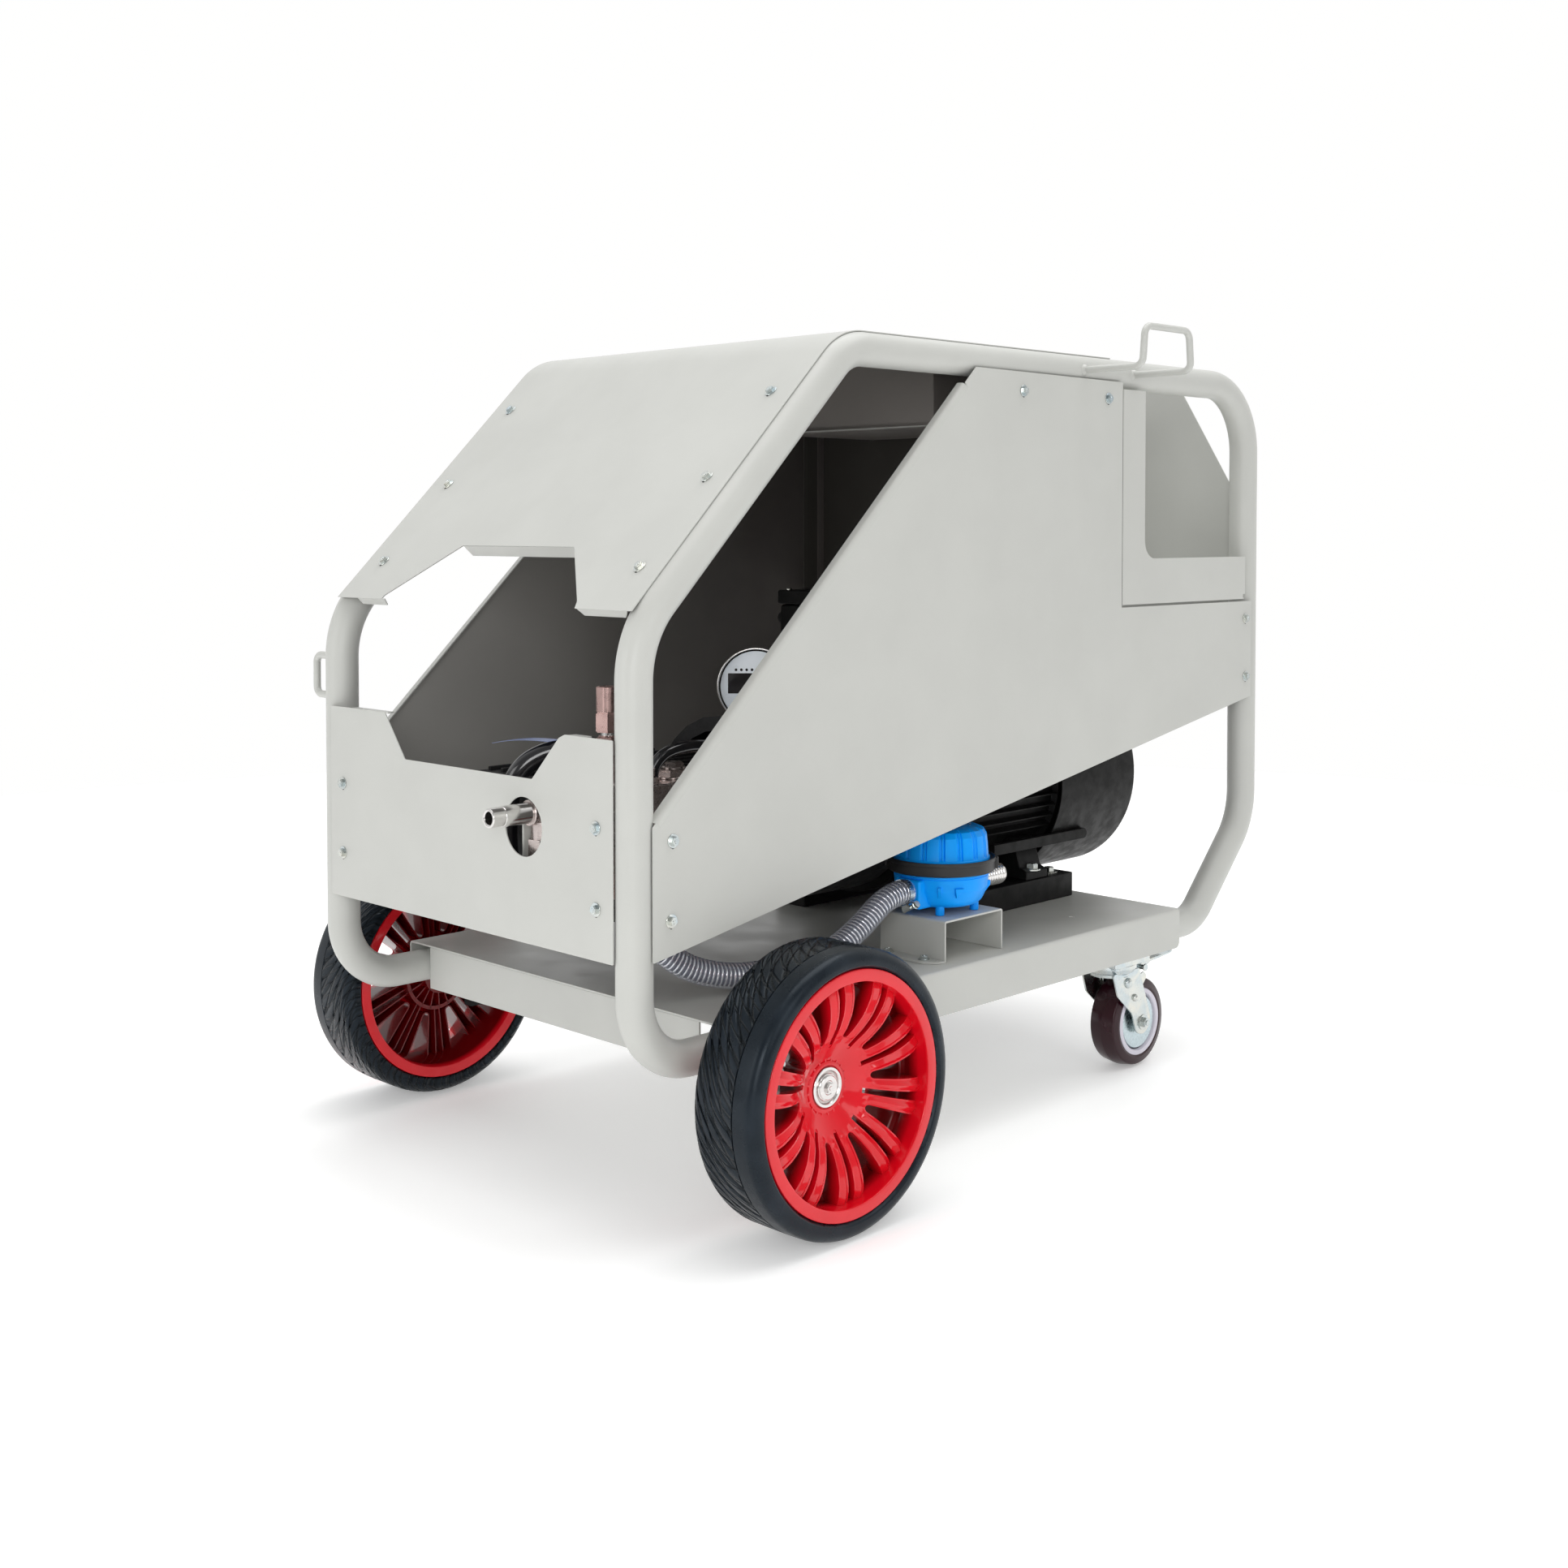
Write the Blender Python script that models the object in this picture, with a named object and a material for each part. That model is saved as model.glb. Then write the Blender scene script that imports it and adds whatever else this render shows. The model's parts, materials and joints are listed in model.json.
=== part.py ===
"""Wheeled electric high-pressure washer: a tube frame on two large wheels and two casters.

Metres, +Z up. +X is the side with the water filter, -Y is the front with the outlet, +Y is
the rear with the casters. Lengths along Y below are counted from the centreline of the front
tubes; the empty "washer" moves them so that the origin is at the middle of the footprint.
"""

import math

import bmesh
import bpy
from mathutils import Matrix, Vector

# Footprint
FRONT_REACH = 0.076  # the outlet's end, ahead of the front tubes
REAR_REACH = 1.447  # the rear panel's back, behind the front tubes
GAP = 0.0003  # between pieces that touch

# Tube frame
TUBE_R = 0.024
LOOP_X = 0.332
LOOP_CORNERS = (  # (y, z, bend radius) of each corner of a side loop
    (0.0, 0.229, 0.090),
    (0.0, 0.772, 0.140),
    (0.381, 1.153, 0.085),
    (1.4207, 1.153, 0.115),
    (1.4207, 0.391, 0.120),
    (1.259, 0.229, 0.080),
)
BEND_STEPS = 5

# Sheet metal
SHEET = 0.002
OUTER_X = LOOP_X + TUBE_R + GAP  # inner face of the side panels
SLOPE_Z = 0.772  # height of the front slope's centreline at y = 0, rising at 45 degrees
RAIL_Z = 1.153
HOOD_HALF = 0.334
ROOF_END = 1.010
NOSE_Z = 0.803  # the hood's lower edge
TRAY_T = 0.003
TRAY_TOP = 0.264
TRAY_LOW = 0.198
TRAY_FRONT = 0.135
TRAY_REAR = 1.185
STORE_FRONT = 1.0125
STORE_FLOOR = 0.781
STORE_END = 1.388
SILL_Z = 0.855
STRIP_END = 1.075
STRIP_TOP = 1.128

# Drive
AXIS_Z = 0.466  # motor and pump shaft
MOTOR_R = 0.162
MOTOR_FRONT = 0.735
MOTOR_REAR = 1.140
COWL_R = 0.178
COWL_FRONT = 1.100
COWL_REAR = 1.338
SHAFT_R = 0.030
PUMP_REAR = 0.460

# Wheels
WHEEL_R = 0.186
WHEEL_Y = 0.227
WHEEL_IN, WHEEL_OUT = 0.387, 0.500
AXLE_R = 0.0110
CASTER_X = 0.294
SWIVEL_Y = 1.075
CASTER_TRAIL = 0.051
CASTER_R = 0.076

# Water filter
FILTER_X, FILTER_Y = 0.268, 0.669
PORT_Z = 0.363
HOSE_R = 0.0185

MATERIALS = {}


def material(name, colour, roughness, metallic=0.0):
    """A Principled material, made once for each name."""
    if name not in MATERIALS:
        made = bpy.data.materials.new(name)
        made.use_nodes = True
        shader = made.node_tree.nodes["Principled BSDF"]
        shader.inputs["Base Color"].default_value = (*colour, 1.0)
        shader.inputs["Roughness"].default_value = roughness
        shader.inputs["Metallic"].default_value = metallic
        MATERIALS[name] = made
    return MATERIALS[name]


def powder_coat():
    return material("powder_coat", (0.62, 0.62, 0.58), 0.45)


def black_paint():
    return material("black_paint", (0.012, 0.012, 0.012), 0.4)


def zinc():
    return material("zinc", (0.62, 0.66, 0.66), 0.3, 1.0)


def steel():
    return material("steel", (0.62, 0.58, 0.56), 0.25, 1.0)


def brass():
    return material("brass", (0.55, 0.32, 0.27), 0.3, 1.0)


def blue_plastic():
    return material("blue_plastic", (0.0, 0.26, 0.9), 0.3)


def black_rubber():
    return material("black_rubber", (0.015, 0.016, 0.018), 0.6)


def clear_hose():
    return material("clear_hose", (0.42, 0.43, 0.47), 0.25)


def empty(name, place, parent=None):
    made = bpy.data.objects.new(name, None)
    made.location = place
    made.parent = parent
    bpy.context.collection.objects.link(made)
    return made


def add(name, bm, finish, parent, place=(0, 0, 0)):
    """Turn a bmesh into a named, smooth-shaded object."""
    bmesh.ops.remove_doubles(bm, verts=bm.verts, dist=1e-6)
    bmesh.ops.recalc_face_normals(bm, faces=bm.faces)
    mesh = bpy.data.meshes.new(name)
    bm.to_mesh(mesh)
    bm.free()
    mesh.shade_smooth()
    mesh.set_sharp_from_angle(angle=math.radians(35))
    mesh.materials.append(finish)
    made = bpy.data.objects.new(name, mesh)
    made.location = place
    made.parent = parent
    bpy.context.collection.objects.link(made)
    return made


def block(low, high):
    bm = bmesh.new()
    low, high = Vector(low), Vector(high)
    size = high - low
    place = Matrix.Translation((low + high) / 2) @ Matrix.Diagonal((*size, 1.0))
    bmesh.ops.create_cube(bm, size=1.0, matrix=place)
    return bm


def prism(outline, axis, start, end):
    """An outline in the two other axes, in X, Y, Z order, extruded along axis."""
    index = "XYZ".index(axis)
    bm = bmesh.new()

    def corner(point):
        place = list(point)
        place.insert(index, start)
        return bm.verts.new(place)

    face = bm.faces.new([corner(point) for point in outline])
    pushed = bmesh.ops.extrude_face_region(bm, geom=[face])
    move = Vector((0, 0, 0))
    move[index] = end - start
    moved = [v for v in pushed["geom"] if isinstance(v, bmesh.types.BMVert)]
    bmesh.ops.translate(bm, verts=moved, vec=move)
    return bm


def turned(profile, axis, steps=32):
    """A closed (radius, height) profile turned round an axis through the local origin."""
    bm = bmesh.new()
    points = [bm.verts.new((radius, 0, height)) for radius, height in profile]
    edges = [bm.edges.new((a, b)) for a, b in zip(points, points[1:] + points[:1])]
    bmesh.ops.spin(
        bm, geom=points + edges, cent=(0, 0, 0), axis=(0, 0, 1),
        angle=math.tau, steps=steps, use_merge=True, use_duplicate=False,
    )
    turn = {
        "X": Matrix.Rotation(math.radians(90), 3, "Y"),
        "Y": Matrix.Rotation(math.radians(-90), 3, "X"),
        "Z": Matrix.Identity(3),
    }[axis]
    bmesh.ops.rotate(bm, verts=bm.verts, cent=(0, 0, 0), matrix=turn)
    bmesh.ops.remove_doubles(bm, verts=bm.verts, dist=1e-6)
    return bm


def rod(radius, start, end, axis, steps=16):
    """A solid cylinder from start to end along an axis."""
    return turned(((0, start), (radius, start), (radius, end), (0, end)), axis, steps)


def ring(inner, outer, start, end, axis, steps=24):
    profile = ((inner, start), (outer, start), (outer, end), (inner, end))
    return turned(profile, axis, steps)


def boolean(target, bm, operation, place=(0, 0, 0)):
    """Union or cut target with a hidden helper that shares its parent."""
    helper = add(f"{target.name}_{operation.lower()}_{len(target.modifiers)}", bm,
                 target.active_material, target.parent, place)
    helper.hide_render = True
    helper.display_type = "WIRE"
    modifier = target.modifiers.new(operation.title(), "BOOLEAN")
    modifier.operation = operation
    modifier.solver = "EXACT"
    modifier.object = helper
    return target


def join(target, bm, place=(0, 0, 0)):
    return boolean(target, bm, "UNION", place)


def cut(target, bm, place=(0, 0, 0)):
    return boolean(target, bm, "DIFFERENCE", place)


def rounded(corners, steps, closed=True):
    """Replace each (point, radius) corner of a path by an arc of that radius."""
    points = []
    count = len(corners)
    for i, (corner, radius) in enumerate(corners):
        corner = Vector(corner)
        if not closed and i in (0, count - 1):
            points.append(corner)
            continue
        before = (Vector(corners[i - 1][0]) - corner).normalized()
        after = (Vector(corners[(i + 1) % count][0]) - corner).normalized()
        half = before.angle(after) / 2
        reach = radius / math.tan(half)
        middle = corner + (before + after).normalized() * radius / math.sin(half)
        first = corner + before * reach - middle
        last = corner + after * reach - middle
        sweep = first.angle(last)
        for step in range(steps + 1):
            share = step / steps
            arm = (first * math.sin((1 - share) * sweep)
                   + last * math.sin(share * sweep)) / math.sin(sweep)
            points.append(middle + arm)
    return points


def smooth_route(points, steps):
    """Points along a Catmull-Rom curve through a route's own points."""
    route = [Vector(point) for point in points]
    route = [2 * route[0] - route[1], *route, 2 * route[-1] - route[-2]]
    made = []
    for a, b, c, d in zip(route, route[1:], route[2:], route[3:]):
        for step in range(steps):
            t = step / steps
            made.append(0.5 * (2 * b + (c - a) * t + (2 * a - 5 * b + 4 * c - d) * t * t
                               + (3 * b - a - 3 * c + d) * t ** 3))
    made.append(route[-2])
    return made


def tube(name, points, radius, finish, parent, closed=False, resolution=3):
    curve = bpy.data.curves.new(name, "CURVE")
    curve.dimensions = "3D"
    curve.bevel_depth = radius
    curve.bevel_resolution = resolution
    curve.use_fill_caps = not closed
    spline = curve.splines.new("POLY")
    spline.points.add(len(points) - 1)
    for slot, point in zip(spline.points, points):
        slot.co = (*point, 1.0)
    spline.use_cyclic_u = closed
    spline.use_smooth = True
    curve.materials.append(finish)
    made = bpy.data.objects.new(name, curve)
    made.parent = parent
    bpy.context.collection.objects.link(made)
    return made


def sides():
    """The near and far side of the machine, as (suffix, sign of X)."""
    return ("right", 1), ("left", -1)


# ---------------------------------------------------------------- frame and sheet metal


def make_loops(root):
    path = rounded([((y, z), radius) for y, z, radius in LOOP_CORNERS], BEND_STEPS)
    for side, sign in sides():
        points = [(sign * LOOP_X, y, z) for y, z in path]
        tube(f"frame_loop_{side}", points, TUBE_R, powder_coat(), root, closed=True)


def make_tray(root):
    outer, inner = OUTER_X + TRAY_T, OUTER_X
    under = TRAY_TOP - TRAY_T
    section = ((-outer, TRAY_LOW), (-inner, TRAY_LOW), (-inner, under), (inner, under),
               (inner, TRAY_LOW), (outer, TRAY_LOW), (outer, TRAY_TOP), (-outer, TRAY_TOP))
    tray = add("base_tray", prism(section, "Y", TRAY_FRONT, TRAY_REAR), powder_coat(), root)
    between = LOOP_X - TUBE_R - 0.002
    for start in (TRAY_FRONT, TRAY_REAR - TRAY_T):
        join(tray, block((-between, start, TRAY_LOW), (between, start + TRAY_T, under + 0.001)))


def make_crossmember(root):
    """A channel inside the tray that the caster plates bolt to."""
    half, front, rear = 0.305, 1.020, 1.130
    top, low, thick = TRAY_TOP - TRAY_T - GAP, TRAY_LOW, 0.004
    section = ((front, low), (rear, low), (rear, top), (rear - thick, top),
               (rear - thick, low + thick), (front + thick, low + thick),
               (front + thick, top), (front, top))
    add("caster_crossmember", prism(section, "X", -half, half), black_paint(), root)


def make_front_panel(root):
    back = -TUBE_R - GAP
    edge, low, top = 0.322, 0.365, 0.644
    outline = ((-edge, low), (edge, low), (edge, top), (0.228, top), (0.216, 0.639),
               (0.160, 0.581), (-0.130, 0.581), (-0.180, top), (-edge, top))
    panel = add("front_lower_panel", prism(outline, "Y", back - SHEET, back),
                powder_coat(), root)
    cut(panel, rod(0.0390, -0.1, 0.1, "Y", 32), (0.142, 0.0, 0.517))


def hood_profile(offset):
    """The hood's section in (y, z), at a distance from the frame's centreline."""
    rise = offset * math.sqrt(2)
    start = Vector((NOSE_Z - SLOPE_Z - rise, NOSE_Z))
    bend = Vector((RAIL_Z + offset - SLOPE_Z - rise, RAIL_Z + offset))
    end = Vector((ROOF_END, RAIL_Z + offset))
    radius = LOOP_CORNERS[2][2] + offset
    return rounded([(start, 0), (bend, radius), (end, 0)], 6, closed=False)


def make_hood(root):
    inner = hood_profile(TUBE_R + GAP)
    outer = hood_profile(TUBE_R + GAP + SHEET)
    section = [tuple(point) for point in outer + inner[::-1]]
    hood = add("hood_panel", prism(section, "X", -HOOD_HALF, HOOD_HALF), powder_coat(), root)
    notch_top, notch_low = 0.880, 0.790
    notch = ((-0.125, notch_top), (-0.218, 0.808), (-0.218, notch_low),
             (0.232, notch_low), (0.218, 0.812), (0.128, notch_top))
    cut(hood, prism(notch, "Y", -0.10, 0.20))


def flange_strip(outline_start, outline_end, depth):
    """A strip along a sloping edge, on its lower side, as an outline in (y, z)."""
    start, end = Vector(outline_start), Vector(outline_end)
    along = (end - start).normalized()
    down = Vector((along.y, -along.x)) * depth
    return [tuple(point) for point in (start, end, end + down, start + down)]


def make_side_panels(root):
    front, low, rear = 0.008, 0.367, 1.408
    outline = ((front, low), (rear, 0.609), (rear, 0.777), (STORE_FRONT - SHEET, 0.777),
               (STORE_FRONT - SHEET, 1.139), (0.637, 1.141), (front, 0.536))
    fold = flange_strip((0.050, 0.5764), (0.600, 1.1054), SHEET)
    for side, sign in sides():
        inner, outer = sign * OUTER_X, sign * (OUTER_X + SHEET)
        panel = add(f"side_panel_{side}", prism(outline, "X", inner, outer),
                    powder_coat(), root)
        join(panel, prism(fold, "X", sign * (OUTER_X - 0.014), sign * (OUTER_X + 0.001)))


def make_storage_bin(root):
    """Open-topped bin behind the motor bay, with a cut-out in each side wall."""
    outer = OUTER_X + SHEET
    rail_clear, rail_low = LOOP_X - TUBE_R - 0.002, STRIP_TOP
    top = RAIL_Z + TUBE_R - GAP
    wall = ((-outer, STORE_FLOOR), (outer, STORE_FLOOR), (outer, rail_low),
            (rail_clear, rail_low), (rail_clear, top), (-rail_clear, top),
            (-rail_clear, rail_low), (-outer, rail_low))
    add("bin_bulkhead", prism(wall, "Y", STORE_FRONT, STORE_FRONT + SHEET),
        powder_coat(), root)
    start, inner = STORE_FRONT + SHEET + GAP, OUTER_X - GAP
    add("bin_floor", block((-inner, start, STORE_FLOOR), (inner, STORE_END, STORE_FLOOR + SHEET)),
        powder_coat(), root)
    corner = rounded([((STORE_END, SILL_Z), 0), ((STRIP_END, SILL_Z), 0.030),
                      ((STRIP_END, STRIP_TOP), 0)], 4, closed=False)
    flange = [(start, STORE_FLOOR), (STORE_END, STORE_FLOOR)]
    flange += [tuple(point) for point in corner] + [(start, STRIP_TOP)]
    for side, sign in sides():
        add(f"bin_side_{side}", prism(flange, "X", sign * OUTER_X, sign * outer),
            powder_coat(), root)


def make_rear_panel(root):
    front = LOOP_CORNERS[3][0] + TUBE_R + GAP
    edge, low, top = 0.322, 0.609, 1.165
    outline = ((-edge, low), (edge, low), (edge, 0.934), (0.183, top),
               (-0.183, top), (-edge, 0.934))
    add("rear_panel", prism(outline, "Y", front, front + SHEET), powder_coat(), root)


def make_control_box(root):
    add("control_box", block((-0.181, 0.751, 1.064), (0.181, 1.011, 1.1765)),
        powder_coat(), root)


def make_hooks(root):
    start, reach, rod_r = OUTER_X + GAP, 0.463, 0.0055
    front, rear, top = 0.909, 1.043, 1.215
    hose = [((start, front, RAIL_Z), 0), ((reach, front, RAIL_Z), 0.016),
            ((reach, front + 0.006, top), 0.016), ((reach, rear - 0.006, top), 0.016),
            ((reach, rear, RAIL_Z), 0.016), ((start, rear, RAIL_Z), 0)]
    tube("hose_hook", rounded(hose, 3, closed=False), rod_r, powder_coat(), root,
         resolution=2)
    low, high, out = 0.655, 0.718, 0.398
    cable = [((-start, 0, high), 0), ((-out, 0, high), 0.012),
             ((-out, 0, low), 0.012), ((-start, 0, low), 0)]
    tube("cable_hook", rounded(cable, 3, closed=False), rod_r * 0.8, powder_coat(), root,
         resolution=2)


# ---------------------------------------------------------------- motor and pump


def make_motor(root):
    drive = empty("drive_axis", (0, 0, AXIS_Z), root)
    body = add("motor_body", ring(0.034, MOTOR_R, MOTOR_FRONT, MOTOR_REAR, "Y", 28),
               black_paint(), drive)
    foot_low = 0.306 - AXIS_Z
    for _, sign in sides():
        ends = sorted((sign * 0.100, sign * 0.160))
        join(body, block((ends[0], 0.790, foot_low), (ends[1], 1.080, -0.070)))
    wall = ((COWL_R - SHEET, COWL_FRONT), (COWL_R, COWL_FRONT), (COWL_R, COWL_REAR - 0.02),
            (COWL_R - 0.02, COWL_REAR), (0.090, COWL_REAR), (0.090, COWL_REAR - SHEET),
            (COWL_R - 0.021, COWL_REAR - SHEET), (COWL_R - SHEET, COWL_REAR - 0.021))
    add("fan_cowl", turned(wall, "Y", 32), black_paint(), drive)
    add("bell_housing", ring(0.128, 0.150, PUMP_REAR + GAP, MOTOR_FRONT - GAP, "Y", 24),
        black_paint(), drive)
    for side, sign in sides():
        ends = sorted((sign * 0.095, sign * 0.165))
        add(f"motor_rail_{side}", block((ends[0], 0.745, TRAY_TOP + GAP),
                                        (ends[1], 1.149, 0.306 - GAP)), black_paint(), root)


def make_rotor(root):
    """Everything that turns with the motor, about the drive axis."""
    rotor = empty("rotor_axis", (0, 0, AXIS_Z), root)
    shaft = add("motor_shaft", rod(SHAFT_R, 0.620, 1.262, "Y"), steel(), rotor)
    hub_bore = SHAFT_R + 0.0005
    fan = add("cooling_fan", ring(hub_bore, 0.052, 1.190, 1.250, "Y", 24), black_paint(), rotor)
    join(fan, ring(0.045, 0.150, 1.190, 1.194, "Y", 24))
    for turn in range(6):
        blade = block((0.048, 1.192, -0.002), (0.146, 1.240, 0.002))
        bmesh.ops.rotate(blade, verts=blade.verts, cent=(0, 0, 0),
                         matrix=Matrix.Rotation(math.tau * turn / 6, 3, "Y"))
        join(fan, blade)
    profile = ((0.0, PUMP_REAR + 0.002), (0.0175, PUMP_REAR + 0.002), (0.0175, 0.550),
               (0.058, 0.550), (0.058, 0.625), (0.0, 0.625))
    join(shaft, turned(profile, "Y", 24))


def make_terminal_box(root):
    half, front, rear = 0.090, 0.680, 0.860
    base, seam, top = AXIS_Z + MOTOR_R + GAP, 0.780, 0.803
    box = add("terminal_box", block((-half, front, base), (half, rear, seam + 0.001)),
              black_paint(), root)
    join(box, block((-half - 0.003, front - 0.003, seam), (half + 0.003, rear + 0.003, top)))
    gland = turned(((0.006, 0), (0.015, 0), (0.015, 0.016), (0.012, 0.030), (0.006, 0.030)),
                   "X", 12)
    bmesh.ops.rotate(gland, verts=gland.verts, cent=(0, 0, 0),
                     matrix=Matrix.Rotation(math.pi, 3, "Z"))
    add("cable_gland", gland, black_rubber(), root, (-half - GAP, 0.712, 0.755))


def make_pump(root):
    add("pump_crankcase", block((-0.155, 0.100, 0.350), (0.085, PUMP_REAR, 0.572)),
        black_paint(), root)
    head_low, head_top = 0.430, 0.560
    head = add("pump_head", block((0.085 + GAP, 0.120, head_low), (0.205, 0.440, head_top)),
               steel(), root)
    for y in (0.215, 0.295, 0.375):
        join(head, rod(0.021, head_top - 0.002, head_top + 0.022, "Z", 6), (0.165, y, 0))
        join(head, rod(0.024, 0.203, 0.222, "X", 6), (0, y, 0.470))
    manifold_low = 0.392
    manifold = add("inlet_manifold", block((0.150, 0.128, manifold_low),
                                           (0.215, 0.430, head_low - GAP)), brass(), root)
    join(manifold, rod(0.016, 0.375, manifold_low + 0.002, "Z", 16), (0.190, 0.155, 0))


def make_outlet(root):
    x, z = 0.135, 0.5326
    start, end = -FRONT_REACH, -0.012
    nipple = turned(((0.0085, start), (0.0128, start), (0.0128, start + 0.020),
                     (0.0140, start + 0.022), (0.0140, end), (0.0085, end)), "Y", 24)
    add("outlet_nipple", nipple, steel(), root, (x, 0, z))
    elbow = add("outlet_elbow", rod(0.0170, end + GAP, 0.028, "Y", 20), steel(), root,
                (x, 0, z))
    join(elbow, rod(0.0155, -0.045, 0.002, "Z", 20), (x, 0.011, z))
    join(elbow, rod(0.0190, -0.075, -0.040, "Z", 6), (x, 0.011, z))
    join(elbow, block((0.105, -0.012, 0.405), (0.165, 0.120 - GAP, 0.459)))


def make_relief_valve(root):
    x, y = 0.108, 0.147
    base = 0.560 + GAP
    body = add("relief_valve_body", turned(((0, base), (0.013, base), (0.013, 0.578),
               (0.0185, 0.580), (0.0185, 0.621), (0.008, 0.622), (0.008, 0.640), (0, 0.640)),
               "Z", 16), brass(), root, (x, y, 0))
    join(body, rod(0.012, -0.026, 0.0, "X", 12), (x, y, 0.600))
    knob = empty("relief_knob_axis", (x, y, 0.656), root)
    profile = ((0.0085, -0.0315), (0.0190, -0.0315), (0.0190, -0.004), (0.0165, -0.002),
               (0.0165, 0.0320), (0.0, 0.0320), (0.0, -0.014), (0.0085, -0.014))
    add("relief_valve_knob", turned(profile, "Z", 16), brass(), knob)


def make_gauge(root):
    """Round panel gauge on a post over the pump, facing the front right corner."""
    radius, depth = 0.0565, 0.034
    place = Vector((0.150, 0.389, 0.675))
    dial = turned(((0, -depth), (radius - 0.006, -depth), (radius, -depth + 0.008),
                   (radius, 0), (radius - 0.005, 0), (radius - 0.007, -0.004), (0, -0.004)),
                  "Y", 28)
    flip = Matrix.Rotation(math.radians(45 + 180), 3, "Z")
    bmesh.ops.rotate(dial, verts=dial.verts, cent=(0, 0, 0), matrix=flip)
    case = add("gauge_case", dial, zinc(), root, place)
    join(case, rod(0.008, 0.560 + GAP, 0.680, "Z", 12), (0.1245, 0.4145, 0))


def make_hoses(root):
    bypass = ((0.0815, 0.147, 0.600), (0.0730, 0.147, 0.600), (0.0640, 0.147, 0.600),
              (0.040, 0.136, 0.600), (0.014, 0.108, 0.596), (-0.004, 0.084, 0.580),
              (-0.014, 0.070, 0.545), (-0.012, 0.062, 0.490), (0.000, 0.058, 0.435),
              (0.030, 0.058, 0.390), (0.075, 0.068, 0.372), (0.104, 0.094, 0.374),
              (0.116, 0.128, 0.388), (0.127, 0.147, 0.407), (0.136, 0.150, 0.411),
              (0.143, 0.150, 0.411), (0.1495, 0.150, 0.411))
    tube("bypass_hose", smooth_route(bypass, 2), 0.0150, black_rubber(), root, resolution=2)
    gauge = ((0.158, 0.381, 0.6160), (0.163, 0.366, 0.602), (0.172, 0.330, 0.598),
             (0.180, 0.280, 0.600), (0.184, 0.225, 0.604), (0.183, 0.185, 0.598),
             (0.178, 0.168, 0.580), (0.177, 0.165, 0.5612))
    tube("gauge_hose", smooth_route(gauge, 2), 0.0070, black_rubber(), root, resolution=2)
    suction = ((FILTER_X, 0.5896, PORT_Z), (FILTER_X, 0.576, PORT_Z),
               (FILTER_X, 0.562, 0.3628), (0.268, 0.530, 0.353), (0.266, 0.480, 0.322),
               (0.262, 0.425, 0.297), (0.256, 0.365, 0.286), (0.247, 0.305, 0.2855),
               (0.234, 0.250, 0.290), (0.216, 0.201, 0.305), (0.199, 0.168, 0.330),
               (0.1902, 0.1555, 0.350), (0.190, 0.155, 0.362), (0.190, 0.155, 0.3746))
    tube("suction_hose", smooth_route(suction, 2), HOSE_R, clear_hose(), root)


# ---------------------------------------------------------------- water filter


def make_filter(root):
    bracket_front, bracket_rear, near, far = 0.600, 0.738, 0.332, 0.205
    low, top, thick = TRAY_TOP + GAP, 0.326, 0.003
    section = ((bracket_front, low), (bracket_front + thick, low),
               (bracket_front + thick, top - thick), (bracket_rear - thick, top - thick),
               (bracket_rear - thick, low), (bracket_rear, low), (bracket_rear, top),
               (bracket_front, top))
    bracket = add("filter_bracket", prism(section, "X", far, near), powder_coat(), root)
    join(bracket, block((far + 0.01, 0.574, low), (near - 0.01, bracket_front + 0.001,
                                                  low + thick)))

    place = (FILTER_X, FILTER_Y, 0)
    base = top + GAP
    bowl = add("filter_bowl", turned((
        (0, 0.334), (0.050, 0.334), (0.070, 0.352), (0.0735, 0.382), (0.0735, 0.400),
        (0.066, 0.400), (0.065, 0.366), (0.056, 0.350), (0, 0.350)), "Z", 24),
        blue_plastic(), root, place)
    for angle in (40, 130, 220, 310):
        spot = Matrix.Rotation(math.radians(angle), 3, "Z") @ Vector((0.040, 0, 0))
        join(bowl, rod(0.0065, base, 0.340, "Z", 8),
             (FILTER_X + spot.x, FILTER_Y + spot.y, 0))
    for near_end, far_end in ((-0.079, -0.062), (0.062, 0.083)):
        join(bowl, rod(0.0200, near_end, far_end, "Y", 16), (FILTER_X, FILTER_Y, PORT_Z))
    cut(bowl, rod(0.0130, -0.090, 0.095, "Y", 10), (FILTER_X, FILTER_Y, PORT_Z))
    add("filter_clamp_ring", ring(0.0745, 0.0830, 0.388, 0.409, "Z", 24), black_rubber(),
        root, place)
    add("filter_element", ring(0.036, 0.042, 0.3505, 0.438, "Z", 20), steel(), root, place)
    fitting = ((0.0100, 0.0835), (0.0175, 0.0835), (0.0175, 0.100), (0.0160, 0.102),
               (0.0160, 0.141), (0.0100, 0.141))
    add("filter_inlet_fitting", turned(fitting, "Y", 20), steel(), root,
        (FILTER_X, FILTER_Y, PORT_Z))

    cap = empty("filter_cap_axis", (FILTER_X, FILTER_Y, 0.4003), root)
    profile = ((0.066, 0), (0.0735, 0), (0.0735, 0.010), (0.0720, 0.013), (0.0700, 0.042),
               (0.0600, 0.054), (0, 0.057), (0, 0.050), (0.057, 0.047), (0.064, 0.038))
    add("filter_cap", turned(profile, "Z", 24), blue_plastic(), cap)


def make_clamps(root):
    inner, outer, half = HOSE_R + 0.0006, HOSE_R + 0.0024, 0.005
    add("hose_clamp_filter", ring(inner, outer, -half, half, "Y", 20), zinc(), root,
        (FILTER_X, 0.579, PORT_Z))


# ---------------------------------------------------------------- wheels


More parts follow.
